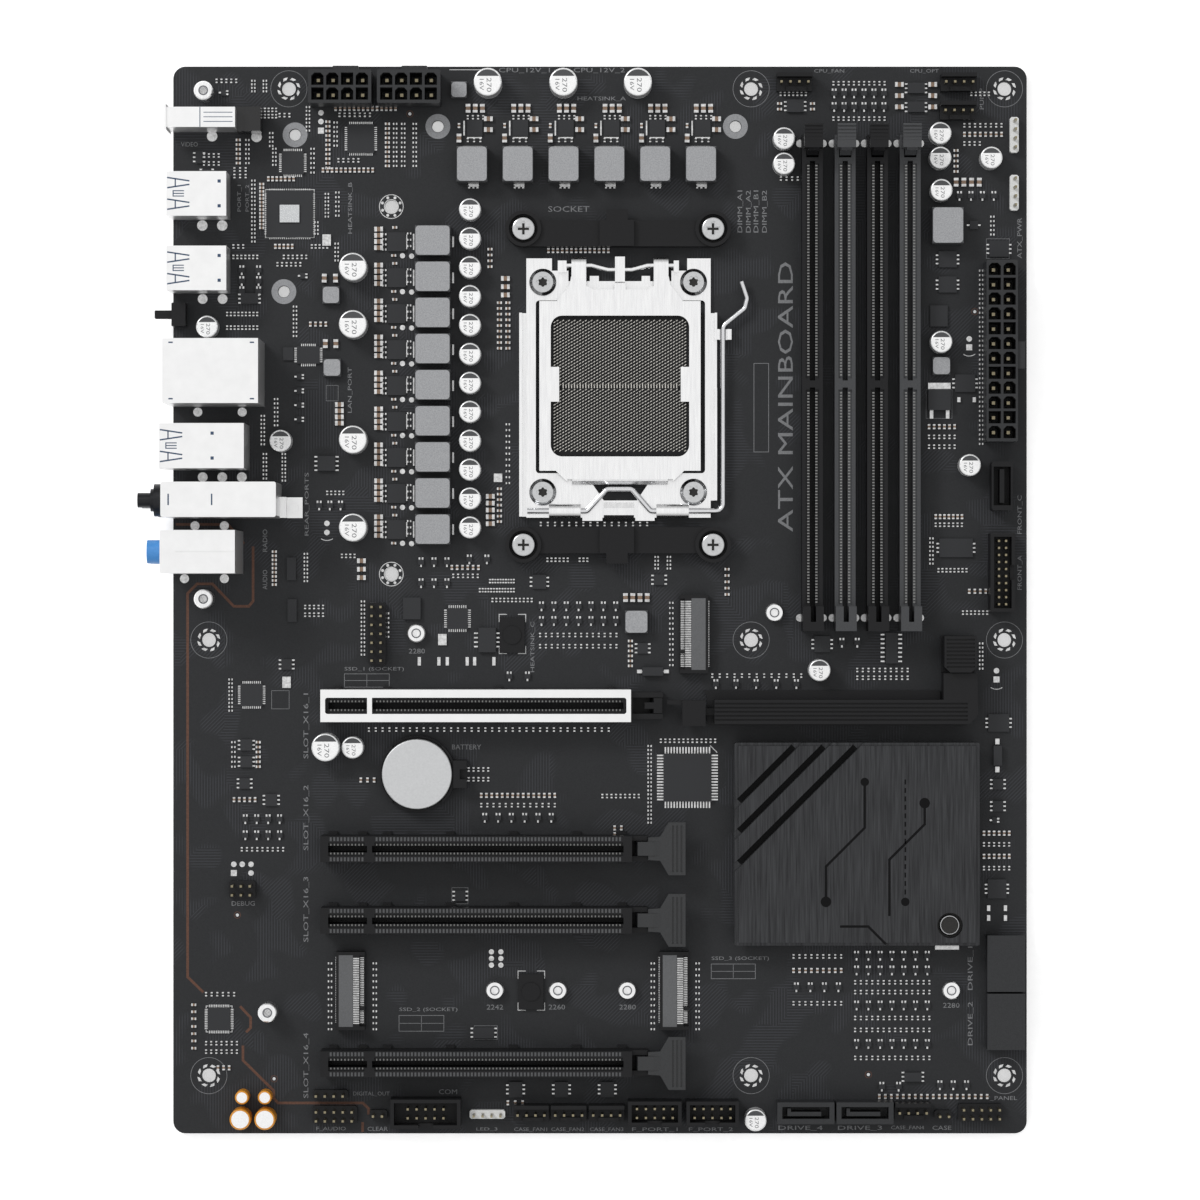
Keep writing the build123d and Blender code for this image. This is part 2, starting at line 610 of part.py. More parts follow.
def wireless_cage():
    cage = span(-1.4, 31.0, 119.2, 129.1, TOP, 27.4)
    cage = soften(cage, 0.6)
    foot = span(30.6, 37.0, 123.1, 129.0, TOP, 2.6)
    foot += span(30.6, 32.6, 123.1, 129.0, TOP, 7.6)
    foot += rod(34.6, 126.2, 1.2, 2.0, 3.4)
    return cage + foot


ANTENNA_Z = (8.4, 21.0)


def antenna_posts():
    posts = []
    for z in ANTENNA_Z:
        post = bar_u(-3.6, -1.4, 124.3, z, 4.6)
        post += bar_u(-8.3, -3.6, 124.3, z, 2.1)
        post += bar_u(-4.6, -3.6, 124.3, z, 3.2)
        posts.append(post)
    return posts


JACK_V = 138.9
JACK_Z = (7.6, 18.0, 28.4)
JACK_RADIUS = 1.8
JACK_DEPTH = 14.0


def audio_jacks():
    body = span(-1.0, 20.0, JACK_V - 6.05, JACK_V + 6.05, TOP, 34.2)
    for z in JACK_Z:
        body -= bar_u(-2, JACK_DEPTH - 1.0, JACK_V, z, JACK_RADIUS)
    body -= span(3.4, 21, JACK_V - 0.15, JACK_V + 0.15, 33.9, 40)
    return body


def audio_bezels():
    rings = []
    for z in JACK_Z:
        rings.append(bar_u(-4.9, -1.0, JACK_V, z, 3.3) - bar_u(-6, 0, JACK_V, z, JACK_RADIUS))
    return rings


SWITCH_V = 71.1
SWITCH_Z = 4.6
PLUNGER_END = 2.0


def update_switch():
    body = span(0.0, 4.0, SWITCH_V - 3.3, SWITCH_V + 3.3, TOP, 7.8)
    depth = PLUNGER_END + PLUNGER_TRAVEL + 0.1
    body -= span(-1, depth, SWITCH_V - 1.4, SWITCH_V + 1.4, SWITCH_Z - 1.4, SWITCH_Z + 1.4)
    return body


def update_plunger():
    stem = span(-5.0, PLUNGER_END, SWITCH_V - 1.2, SWITCH_V + 1.2, SWITCH_Z - 1.2, SWITCH_Z + 1.2)
    return chamfer(stem.edges().group_by(Axis.X)[0], 0.25)


# Power headers
POWER_PITCH = 4.2
POWER_TOP = 14.4
POWER_FLOOR = 3.0


def power_header(u, v, count_u, count_v, size_u, size_v):
    body = block(u, v, size_u, size_v, TOP, POWER_TOP)
    body = soften(body, 0.4)
    for index, (du, dv) in enumerate(grid(count_u, count_v, POWER_PITCH)):
        cavity = block(u + du, v + dv, 3.5, 3.5, POWER_FLOOR, POWER_TOP + 1)
        if index % 3 != 1:
            corners = cavity.edges().filter_by(Axis.Z).group_by(Axis.Y)[-1]
            cavity = chamfer(corners, 0.9)
        body -= cavity
    return body


PROCESSOR_HEADERS = [(48.2, 6.9), (67.7, 6.9)]
MAIN_HEADER = (235.8, 81.75)


def power_headers():
    headers = []
    for u, v in PROCESSOR_HEADERS:
        header = power_header(u, v, 4, 2, 17.9, 9.5)
        header += span(u - 2.0, u + 5.2, v - 5.9, v - 4.6, 8.6, 13.4)
        headers.append(header)
    u, v = MAIN_HEADER
    header = power_header(u, v, 2, 12, 8.9, 51.4)
    header += span(u + 4.3, u + 6.6, v - 2.6, v + 5.0, 8.6, 13.4)
    headers.append(header)
    return headers


# Small headers, as (u, v, pins along u, pins along v)
PIN_PITCH = 2.54
PIN_STRIPS = [
    (58.3, 162.0, 2, 7), (46.3, 299.2, 5, 2), (45.0, 293.4, 4, 1), (58.7, 299.1, 2, 1),
    (19.9, 235.0, 3, 2), (230.4, 298.6, 5, 2), (219.8, 299.2, 2, 1),
]
LIGHT_STRIPS = [(240.1, 19.7, 1, 4), (240.1, 36.2, 1, 4), (89.8, 299.1, 4, 1)]
FAN_HEADERS = [
    (177.3, 4.9), (224.1, 4.9), (223.9, 13.0), (102.3, 298.6), (113.0, 298.6), (123.8, 298.6),
    (210.9, 298.0),
]
BOXED_HEADERS = [
    (137.5, 298.3, 15.2, 7.0, 5, 2), (153.9, 298.3, 14.9, 7.0, 5, 2),
    (72.35, 298.4, 19.9, 8.3, 5, 2), (236.3, 144.6, 7.0, 22.3, 2, 10),
]
STRIP_TOP = TOP + 2.5


def pin_strip(u, v, count_u, count_v):
    strip = block(u, v, count_u * PIN_PITCH - 0.05, count_v * PIN_PITCH - 0.05, TOP, STRIP_TOP)
    return chamfer(strip.edges().filter_by(Axis.Z), 0.45)


def fan_header(u, v):
    body = block(u, v, 10.1, 4.9, TOP, TOP + 3.2)
    body += span(u - 5.05, u + 5.05, v - 2.45, v - 1.35, TOP, TOP + 7.4)
    body += span(u - 2.4, u + 3.4, v + 1.2, v + 2.45, TOP, TOP + 4.4)
    return body


def boxed_header(u, v, size_u, size_v, count_u, count_v):
    wall = 1.0
    body = block(u, v, size_u, size_v, TOP, TOP + 9)
    body -= block(u, v, size_u - 2 * wall, size_v - 2 * wall, TOP + 2.0, 20)
    if count_u > count_v:
        body -= block(u, v + size_v / 2, 4.2, 3 * wall, TOP + 3.5, 20)
    else:
        body -= block(u + size_u / 2, v, 3 * wall, 4.2, TOP + 3.5, 20)
    return body


def pins(u, v, count_u, count_v, pitch, thick, z_high):
    """Square pins that pass through the board."""
    return [block(u + du, v + dv, thick, thick, TOP, z_high) for du, dv in grid(count_u, count_v, pitch)]


def header_pins():
    found = []
    for u, v in PROCESSOR_HEADERS:
        found += pins(u, v, 4, 2, POWER_PITCH, 0.9, 9.6)
    found += pins(*MAIN_HEADER, 2, 12, POWER_PITCH, 0.9, 9.6)
    for strip in PIN_STRIPS + LIGHT_STRIPS:
        found += pins(*strip, PIN_PITCH, 0.64, TOP + 8.4)
    for u, v in FAN_HEADERS:
        found += pins(u, v + 0.2, 4, 1, PIN_PITCH, 0.64, TOP + 8.4)
    for u, v, _, _, count_u, count_v in BOXED_HEADERS:
        pitch = 2.0 if count_v == 10 else PIN_PITCH
        found += pins(u, v, count_u, count_v, pitch, 0.6, TOP + 7.8)
    return found


def front_port_header():
    u, v = 236.2, 120.0
    shell = block(u, v, 6.0, 13.9, TOP, 9.6)
    shell = soften(shell, 0.8)
    hollow = block(u, v, 4.9, 11.0, 3.4, 20)
    return [shell - hollow, block(u, v, 1.3, 9.6, 3.4, 8.6)]


# Drive connectors
UPRIGHT_PORTS = [(180.4, 298.2), (197.2, 298.2)]
ANGLED_PORTS = [(237.5, 255.85), (237.5, 272.4)]


def upright_drive_port(u, v):
    body = block(u, v, 16.2, 6.2, TOP, 10.0)
    body -= block(u, v - 0.1, 13.4, 3.4, 3.2, 20)
    blade = block(u - 0.4, v + 0.3, 9.6, 1.2, 3.2, 8.8)
    blade += block(u - 4.7, v - 0.3, 1.0, 2.0, 3.2, 8.8)
    return body + blade


def angled_drive_port(u, v):
    body = block(u, v, 10.8, 16.0, TOP, 8.0)
    body -= span(u - 1.4, u + 9, v - 6.7, v + 6.7, 3.0, 6.6)
    blade = span(u - 2.0, u + 4.6, v - 4.8, v + 4.8, 4.0, 5.1)
    return body + blade


# Power-supply parts
CHOKE_TOP = 8.6
CHOKE_ROW = [(85.5 + 13.03 * i, 28.35) for i in range(6)]
CHOKE_COLUMN = [(74.3, 50.1 + 10.27 * i) for i in range(9)]
SMALL_CHOKES = [
    (45.2, 65.4, 4.9), (45.5, 86.1, 5.0), (132.3, 158.6, 6.5), (219.3, 85.6, 5.1), (81.7, 6.8, 4.6),
]


def choke(u, v, size_u, size_v, z_high):
    body = block(u, v, size_u, size_v, TOP, z_high)
    top = body.edges().group_by(Axis.Z)[-1]
    return chamfer(top, 0.35)


def chokes():
    found = [choke(u, v, 8.7, 10.0, CHOKE_TOP) for u, v in CHOKE_ROW]
    found += [choke(u, v, 10.0, 8.6, CHOKE_TOP) for u, v in CHOKE_COLUMN]
    found.append(choke(220.9, 45.8, 8.8, 10.3, CHOKE_TOP))
    for u, v, size in SMALL_CHOKES:
        found.append(choke(u, v, size, size, TOP + 0.6 * size))
    return found


LARGE_CAPACITORS = [
    (90.0, 5.2), (111.5, 5.2), (132.7, 5.2), (51.7, 57.7), (51.7, 74.0), (51.7, 106.8),
    (51.7, 131.8), (43.9, 194.3),
]
SMALL_CAPACITORS = [(84.9, 41.2 + 8.23 * i) for i in range(12)] + [
    (10.1, 74.6), (31.0, 107.1), (51.5, 194.4), (174.3, 21.0), (174.3, 28.2), (218.8, 19.5),
    (218.8, 26.5), (233.3, 26.5), (219.1, 35.7), (219.1, 78.9), (227.2, 114.0), (184.4, 172.4),
    (166.2, 300.4),
]
AUDIO_CAPACITORS = [
    (20.0, 294.0, 2.0, 7.4), (26.5, 294.0, 2.0, 7.4), (19.6, 300.1, 3.0, 8.8), (26.6, 300.1, 3.0, 8.8),
]


def can(u, v, radius, z_high):
    """A rolled can on its seal, necked in above the seal."""
    body = rod(u, v, radius, TOP, z_high)
    body = fillet(body.edges().group_by(Axis.Z)[-1], 0.4)
    neck = rod(u, v, radius + 1, TOP + 1.1, TOP + 1.6) - rod(u, v, radius - 0.25, TOP, TOP + 3)
    return body - neck


# Chips, as (u, v, size along u, size along v, height)
CHIPS = [
    (33.3, 42.1, 13.3, 13.4, 1.0), (53.6, 20.6, 7.7, 8.2, 0.9), (34.15, 27.5, 6.3, 6.6, 0.9),
    (38.6, 82.4, 6.5, 5.0, 0.9), (32.9, 82.1, 3.0, 3.7, 0.8), (43.8, 113.4, 5.1, 4.2, 1.6),
    (146.9, 203.1, 13.7, 13.7, 1.4), (13.1, 272.1, 6.4, 6.4, 1.4), (22.4, 179.5, 6.3, 6.4, 0.9),
    (81.2, 157.7, 6.0, 6.0, 0.9), (89.7, 163.8, 4.9, 7.0, 1.6), (205.15, 166.1, 3.4, 8.8, 1.6),
]
STAGE_ROW = [(86.15 + 13.03 * i, 17.6) for i in range(6)]
STAGE_COLUMN = [(63.8, 50.1 + 10.27 * i) for i in range(9)]


def chips():
    found = [block(u, v, size_u, size_v, TOP, TOP + high) for u, v, size_u, size_v, high in CHIPS]
    found[0] += block(33.3, 42.1, 5.7, 5.1, TOP + 1.0, TOP + 1.5)
    found += [block(u, v, 4.4, 4.6, TOP, TOP + 0.8) for u, v in STAGE_ROW]
    found += [block(u, v, 5.2, 5.4, TOP, TOP + 0.8) for u, v in STAGE_COLUMN]
    return found


# Coin cell and holder
CELL_LOW = 4.0
CELL_HIGH = 7.2


def coin_cell():
    cell = rod(CELL_U, CELL_V, CELL_RADIUS, CELL_LOW + 0.5, CELL_HIGH)
    cell += rod(CELL_U, CELL_V, CELL_RADIUS - 1.2, CELL_LOW, CELL_LOW + 0.6)
    return fillet(cell.edges().group_by(Axis.Z)[-1], 0.4)


def cell_holder():
    base = rod(CELL_U, CELL_V, CELL_RADIUS + 0.2, TOP, CELL_LOW - 0.1)
    base += span(CELL_U + 8, 84.0, CELL_V - 4.1, CELL_V + 4.1, TOP, CELL_LOW - 0.1)
    wall = rod(CELL_U, CELL_V, CELL_RADIUS + 0.9, TOP, CELL_LOW + 1.4)
    wall -= rod(CELL_U, CELL_V, CELL_RADIUS + 0.3, 0, 20)
    wall -= span(CELL_U - 7, CELL_U + 7, CELL_V - 12, CELL_V + 12, CELL_LOW - 0.4, 20)
    base += wall
    clip = span(CELL_U + CELL_RADIUS + 0.35, 84.0, CELL_V - 3.9, CELL_V + 3.9, TOP, CELL_HIGH)
    clip -= span(82.0, 86, CELL_V - 1.4, CELL_V + 1.4, 5, 10)
    return base + clip


# Drive sockets, with the side that takes the card
DRIVE_SOCKETS = [(50.8, 263.8, 1), (143.1, 263.8, 1), (148.7, 162.1, -1)]


def drive_socket(u, v, side):
    body = block(u, v, 8.2, 22.3, TOP, 5.8)
    mouth_low, mouth_high = sorted((u + side * 6.0, u - side * 1.6))
    body -= span(mouth_low, mouth_high, v - 10.1, v + 10.1, 3.4, 4.9)
    step_low, step_high = sorted((u + side * 6.0, u + side * 2.6))
    body -= span(step_low, step_high, v - 10.1, v + 10.1, 3.4, 9)
    key_low, key_high = sorted((u + side * 2.2, u + side * 4.1))
    return body + span(key_low, key_high, v + 4.6, v + 5.6, TOP, 5.4)


DRIVE_STANDOFFS = [
    (69.5, 161.9), (91.9, 263.8), (109.9, 263.8), (129.7, 263.8), (222.2, 263.8), (171.7, 156.0),
]
COVER_STANDOFFS = [(9.2, 7.6), (9.2, 152.1), (27.4, 269.7)]


def standoff(u, v, radius, high, hole_radius):
    post = rod(u, v, radius, TOP, TOP + high)
    post = chamfer(post.edges().group_by(Axis.Z)[-1], 0.3)
    return post - rod(u, v, hole_radius, TOP + 0.6, 30)


def standoffs():
    found = [standoff(u, v, 2.6, 2.6, 1.0) for u, v in DRIVE_STANDOFFS]
    return found + [standoff(u, v, 2.7, 8.0, 1.25) for u, v in COVER_STANDOFFS]


def support_pad(u, v):
    pad = block(u, v, 7.1, 10.1, TOP, TOP + 1.2)
    pad = soften(pad, 0.5)
    return pad + rod(u, v, 2.6, TOP + 1.0, TOP + 1.7)


# Write every sub-part
os.makedirs("parts", exist_ok=True)

write("circuit_board", circuit_board())
write("socket_backplate", socket_backplate())
write("socket_body", socket_body())
write("socket_frame", socket_frame())
write("load_plate", load_plate())
write("load_lever", load_lever())
write("socket_screws", *[frame_screw(u, v) for u, v in FRAME_SCREWS])
write("cooler_bracket_top", cooler_bracket(-1))
write("cooler_bracket_bottom", cooler_bracket(1))
write("cross_head_screws", *[bracket_screw(u, v) for u, v in COOLER_SCREWS], heatsink_screw())
for number, slot_u in enumerate(MEMORY_SLOT_U, start=1):
    write(f"memory_slot_{number}", memory_slot(slot_u))
    write(f"memory_latch_{number}", memory_latch(slot_u))
write("graphics_slot", graphics_slot())
write("graphics_slot_shield", graphics_slot_shield())
write("graphics_slot_latch", graphics_slot_latch())
write("release_button", release_button())
write("release_rod", release_rod())
write("release_cover", release_cover())
for number, slot_v in PLAIN_SLOT_V.items():
    write(f"expansion_slot_{number}", expansion_slot(slot_v))
    write(f"expansion_latch_{number}", expansion_latch(slot_v))
write("chipset", block(HEATSINK_U, HEATSINK_V, 25, 25, TOP, PACKAGE_TOP))
write("thermal_pad", block(HEATSINK_U, HEATSINK_V, 24, 24, PACKAGE_TOP, PAD_TOP))
write("chipset_heatsink", chipset_heatsink())
write("display_port", *display_port())
write("port_stack_1", *port_stack(-0.7, 16.3, 37.5, 12.6, 17.0, (2.6, 10.6)))
write("port_stack_2", *port_stack(-0.7, 16.3, 58.55, 12.6, 17.0, (2.6, 10.6)))
write("port_stack_3", *port_stack(-2.1, 21.8, 109.0, 12.7, 24.4, (2.6, 10.2, 17.8)))
write("network_port", *network_port())
write("wireless_cage", wireless_cage())
write("antenna_posts", *antenna_posts())
write("audio_jacks", audio_jacks())
write("audio_bezels", *audio_bezels())
write("update_switch", update_switch())
write("update_plunger", update_plunger())
write("power_headers", *power_headers())
write("header_pins", *header_pins())
write("chokes", *chokes())
write("polymer_capacitors", *[can(u, v, 4.0, 9.8) for u, v in LARGE_CAPACITORS],
      *[can(u, v, 3.15, 7.6) for u, v in SMALL_CAPACITORS])
write("audio_capacitors", *[can(*capacitor) for capacitor in AUDIO_CAPACITORS])
write("chips", *chips())
write("coin_cell", coin_cell())
write("cell_holder", cell_holder())
write("drive_sockets", *[drive_socket(*socket) for socket in DRIVE_SOCKETS])
write("standoffs", *standoffs())
write("support_pads", support_pad(96.8, 162.4), support_pad(102.2, 264.2))
write("pin_headers", *[fan_header(u, v) for u, v in FAN_HEADERS],
      *[pin_strip(*strip) for strip in PIN_STRIPS])
write("light_headers", *[pin_strip(*strip) for strip in LIGHT_STRIPS])
write("boxed_headers", *[boxed_header(*header) for header in BOXED_HEADERS])
write("front_port_header", *front_port_header())
write("drive_ports", *[upright_drive_port(u, v) for u, v in UPRIGHT_PORTS],
      *[angled_drive_port(u, v) for u, v in ANGLED_PORTS])
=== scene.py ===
"""A full-size desktop mainboard seen from straight above, in metres, in the frame of its CAD model.

Places on the board are written as a board drawing gives them: u in from the port edge and
v down from the top edge, in millimetres.
"""

import json
import math

import bmesh
import bpy
from mathutils import Matrix, Vector

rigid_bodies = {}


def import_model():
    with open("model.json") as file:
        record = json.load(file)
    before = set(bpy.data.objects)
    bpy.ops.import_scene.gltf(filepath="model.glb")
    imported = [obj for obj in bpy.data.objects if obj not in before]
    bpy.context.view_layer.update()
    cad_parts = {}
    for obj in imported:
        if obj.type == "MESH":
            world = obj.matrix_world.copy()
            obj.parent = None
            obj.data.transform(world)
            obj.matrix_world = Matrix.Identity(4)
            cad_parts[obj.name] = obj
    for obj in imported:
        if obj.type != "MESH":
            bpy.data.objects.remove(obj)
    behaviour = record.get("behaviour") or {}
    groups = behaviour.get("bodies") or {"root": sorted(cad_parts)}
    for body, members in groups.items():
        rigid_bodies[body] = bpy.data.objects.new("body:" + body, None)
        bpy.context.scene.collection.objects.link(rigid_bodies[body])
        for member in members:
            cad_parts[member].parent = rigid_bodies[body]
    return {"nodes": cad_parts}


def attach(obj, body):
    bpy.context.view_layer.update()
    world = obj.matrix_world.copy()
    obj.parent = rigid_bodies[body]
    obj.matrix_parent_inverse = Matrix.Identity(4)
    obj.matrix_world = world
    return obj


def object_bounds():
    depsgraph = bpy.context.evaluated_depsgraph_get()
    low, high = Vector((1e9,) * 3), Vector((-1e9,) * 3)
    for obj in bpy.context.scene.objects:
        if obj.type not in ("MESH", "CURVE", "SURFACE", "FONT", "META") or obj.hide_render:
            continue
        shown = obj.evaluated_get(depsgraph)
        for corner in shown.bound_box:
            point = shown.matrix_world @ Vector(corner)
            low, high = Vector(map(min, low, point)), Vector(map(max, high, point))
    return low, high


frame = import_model()
cad_low, cad_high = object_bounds()


# ---- Circuit board ----
# A 1.6 mm glass-epoxy laminate with copper on both faces, covered in black solder mask.
# The mask is sprayed on and cured: satin, very slightly uneven, with the tracks under it
# standing up as faint bundles of lines.
MM = 0.001
BOARD_TOP = 1.6


def at(u, v, z=0.0):
    """A place on the board, in metres."""
    return Vector(((u - 10.16) * MM, (288.29 - v) * MM, z * MM))


def linear(code):
    """An sRGB hex value as a linear colour."""
    parts = [int(code[i:i + 2], 16) / 255 for i in (1, 3, 5)]
    return tuple(c / 12.92 if c <= 0.04045 else ((c + 0.055) / 1.055) ** 2.4 for c in parts) + (1.0,)


def add(tree, kind, settings=None, sockets=None):
    """A node with its settings. Each socket takes a value or another node's output."""
    made = tree.nodes.new(kind)
    for name, value in (settings or {}).items():
        setattr(made, name, value)
    for name, value in (sockets or {}).items():
        if isinstance(value, bpy.types.NodeSocket):
            tree.links.new(value, made.inputs[name])
        else:
            made.inputs[name].default_value = value
    return made


def ramp(tree, factor, stops, interpolation="LINEAR"):
    """A colour ramp with (position, hex or grey) stops."""
    made = add(tree, "ShaderNodeValToRGB", sockets={"Fac": factor})
    band = made.color_ramp
    band.interpolation = interpolation
    while len(band.elements) < len(stops):
        band.elements.new(0.5)
    for element, (position, shade) in zip(band.elements, stops):
        element.position = position
        element.color = linear(shade) if isinstance(shade, str) else (shade, shade, shade, 1.0)
    return made.outputs["Color"]


def start_material(name):
    """An empty material with its shader, and the object's coordinates."""
    made = bpy.data.materials.new(name)
    made.use_nodes = True
    tree = made.node_tree
    tree.nodes.clear()
    shader = add(tree, "ShaderNodeBsdfPrincipled")
    add(tree, "ShaderNodeOutputMaterial", sockets={"Surface": shader.outputs["BSDF"]})
    place = add(tree, "ShaderNodeTexCoord").outputs["Object"]
    return made, tree, shader, place


def grained(name, dark, light, rough, grain, height, metallic=0.0, stretch=(1, 1, 1),
            coat=0.0, specular=0.5, spread=0.08):
    """A finish with one grain: its size in mm, its height in mm, and how far it is drawn out.

    Grains are drawn coarser than the real ones, so that they show from arm's length.
    """
    made, tree, shader, place = start_material(name)
    mapped = add(tree, "ShaderNodeMapping", sockets={"Vector": place, "Scale": stretch})
    noise = add(tree, "ShaderNodeTexNoise", sockets={
        "Vector": mapped.outputs["Vector"], "Scale": 1 / (grain * MM), "Detail": 3.0, "Roughness": 0.6})
    factor = noise.outputs["Fac"]
    colour = ramp(tree, factor, [(0.3, dark), (0.7, light)])
    tree.links.new(colour, shader.inputs["Base Color"])
    shine = ramp(tree, factor, [(0.25, max(rough - spread, 0.02)), (0.75, min(rough + spread, 1.0))])
    tree.links.new(shine, shader.inputs["Roughness"])
    bump = add(tree, "ShaderNodeBump", sockets={"Strength": 0.6, "Distance": height * MM, "Height": factor})
    tree.links.new(bump.outputs["Normal"], shader.inputs["Normal"])
    shader.inputs["Metallic"].default_value = metallic
    shader.inputs["Coat Weight"].default_value = coat
    if not metallic:
        shader.inputs["Specular IOR Level"].default_value = specular
    return made


def dress(material, *names):
    """Give CAD nodes a finish."""
    for name in names:
        node = frame["nodes"][name]
        if not node.material_slots:
            node.data.materials.append(material)
        for slot in node.material_slots:
            slot.material = material


def solder_mask():
    """Black solder mask over copper tracks: satin, with track bundles that run at 0, 45 or 90 degrees."""
    made, tree, shader, place = start_material("solder_mask_black")
    # Patches about 16 mm across, each with its own track direction
    patch = add(tree, "ShaderNodeTexVoronoi", {"distance": "MANHATTAN"},
                {"Vector": place, "Scale": 1 / (16 * MM)})
    turn = ramp(tree, patch.outputs["Color"], [(0.0, 0.0), (0.3, 0.7854), (0.5, 0.0), (0.62, 1.5708),
                                               (0.78, -0.7854)], "CONSTANT")
    turned = add(tree, "ShaderNodeVectorRotate", {"rotation_type": "Z_AXIS"},
                 {"Vector": place, "Angle": turn})
    # Tracks are 0.13 mm wide on a 0.3 mm pitch; drawn at 0.8 mm so that they show
    lines = add(tree, "ShaderNodeTexWave", {"bands_direction": "X"}, {
        "Vector": turned.outputs["Vector"], "Scale": 0.314 / (0.8 * MM), "Distortion": 0.0})
    track = ramp(tree, lines.outputs["Fac"], [(0.62, 0.0), (0.8, 1.0)])
    where = add(tree, "ShaderNodeTexNoise", sockets={"Vector": place, "Scale": 1 / (13 * MM), "Detail": 1.0})
    bundle = ramp(tree, where.outputs["Fac"], [(0.52, 0.0), (0.58, 1.0)])
    tracks = add(tree, "ShaderNodeMath", {"operation": "MULTIPLY"}, {0: track, 1: bundle}).outputs[0]
    speck = add(tree, "ShaderNodeTexNoise", sockets={
        "Vector": place, "Scale": 1 / (0.35 * MM), "Detail": 2.0})
    base = ramp(tree, speck.outputs["Fac"], [(0.3, "#232426"), (0.7, "#292a2c")])
    over = add(tree, "ShaderNodeMix", {"data_type": "RGBA"}, {
        "Factor": tracks, "A": base, "B": linear("#35363a")})
    tree.links.new(over.outputs["Result"], shader.inputs["Base Color"])
    shine = ramp(tree, where.outputs["Fac"], [(0.3, 0.46), (0.7, 0.56)])
    tree.links.new(shine, shader.inputs["Roughness"])
    bump = add(tree, "ShaderNodeBump", sockets={"Strength": 0.35, "Distance": 0.03 * MM, "Height": tracks})
    tree.links.new(bump.outputs["Normal"], shader.inputs["Normal"])
    shader.inputs["Specular IOR Level"].default_value = 0.22
    return made


dress(solder_mask(), "circuit_board")


# ---- Hole rings, lead-free solder on copper ----
# Case holes have eight tinned petals, so that a screw bites into solder; heatsink holes have a
# plain grey ring, and the two beside the chokes a ring of tinned vias.
def add_slab(mesh, outline, z_low, z_high):
    """A closed plate with the outline of (u, v) points."""
    low = [mesh.verts.new(at(u, v, z_low)) for u, v in outline]
    high = [mesh.verts.new(at(u, v, z_high)) for u, v in outline]
    mesh.faces.new(low)
    mesh.faces.new(high)
    for i in range(len(outline)):
        j = (i + 1) % len(outline)
        mesh.faces.new((low[i], low[j], high[j], high[i]))


def add_block(mesh, u, v, size_u, size_v, z_low, z_high):
    """A closed box about its centre."""
    a, b = size_u / 2, size_v / 2
    add_slab(mesh, [(u - a, v - b), (u + a, v - b), (u + a, v + b), (u - a, v + b)], z_low, z_high)


def circle(u, v, radius, steps=24, start=0.0, end=360.0):
    """Points of an arc; a whole circle leaves the last one out."""
    whole = end - start >= 360
    count = steps if whole else steps + 1
    angles = [math.radians(start + (end - start) * i / steps) for i in range(count)]
    return [(u + radius * math.cos(a), v + radius * math.sin(a)) for a in angles]


def add_band(mesh, inner, outer, z_low, z_high):
    """A closed flat band between two closed outlines of (u, v) points."""
    loops = [[mesh.verts.new(at(u, v, z)) for u, v in side]
             for side, z in ((inner, z_low), (outer, z_low), (outer, z_high), (inner, z_high))]
    for a, b in zip(loops, loops[1:] + loops[:1]):
        for i in range(len(inner)):
            j = (i + 1) % len(inner)
            mesh.faces.new((a[i], a[j], b[j], b[i]))


def add_ring(mesh, u, v, inner, outer, z_low, z_high, steps=32):
    """A closed flat ring."""
    add_band(mesh, circle(u, v, inner, steps), circle(u, v, outer, steps), z_low, z_high)


def add_line(mesh, points, width, z_low, z_high):
    """A line of one width along (u, v) points, with mitred corners."""
    closed = points[0] == points[-1]
    run = points[:-1] if closed else points
    sides = ([], [])
    for i, (u, v) in enumerate(run):
        before = run[i - 1] if i or closed else None
        after = run[(i + 1) % len(run)] if i < len(run) - 1 or closed else None
        ways = [Vector((b[0] - a[0], b[1] - a[1])).normalized()
                for a, b in ((before, (u, v)), ((u, v), after)) if a and b]
        way = sum(ways, Vector((0, 0))).normalized()
        square = Vector((-way.y, way.x))
        reach = width / 2 / max(square.dot(Vector((-ways[0].y, ways[0].x))), 0.3)
        sides[0].append((u + square.x * reach, v + square.y * reach))
        sides[1].append((u - square.x * reach, v - square.y * reach))
    if closed:
        add_band(mesh, *sides, z_low, z_high)
    else:
        add_slab(mesh, sides[0] + sides[1][::-1], z_low, z_high)


IN_SCENE = bpy.context.scene.collection.objects


def finished(name, shape):
    """A bmesh as a mesh that faces outwards."""
    bmesh.ops.recalc_face_normals(shape, faces=shape.faces)
    data = bpy.data.meshes.new(name)
    shape.to_mesh(data)
    shape.free()
    return data


def place_piece(name, mesh, material, body="board"):
    """Make a piece of a bmesh or a mesh, and fix it to a body."""
    if isinstance(mesh, bmesh.types.BMesh):
        mesh = finished(name, mesh)
    mesh.name = name
    mesh.materials.clear()
    mesh.materials.append(material)
    made = bpy.data.objects.new(name, mesh)
    IN_SCENE.link(made)
    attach(made, body)
    return made


def film(base, height):
    """Bottom and top of a thin layer; its bottom is 0.01 mm inside what carries it."""
    return base - 0.01, base + height


CASE_HOLES = [(u, v) for v in (6.35, 163.83, 288.29)
              for u in (33.02 if v < 10 else 10.16, 165.1, 237.49)]
HEATSINK_HOLES = [(34.8, 19.5), (31.6, 64.3), (75.6, 17.1), (160.6, 17.1)]
VIA_RING_HOLES = [(62.3, 40.0), (62.3, 145.0)]

# Reflowed solder: bright, soft grey-white, wetted smooth with slight waves
solder = grained("solder_tin_reflowed", "#b4b4b4", "#e6e6e6", 0.35, 0.8, 0.02, metallic=1.0)
SOLDER = film(BOARD_TOP, 0.05)
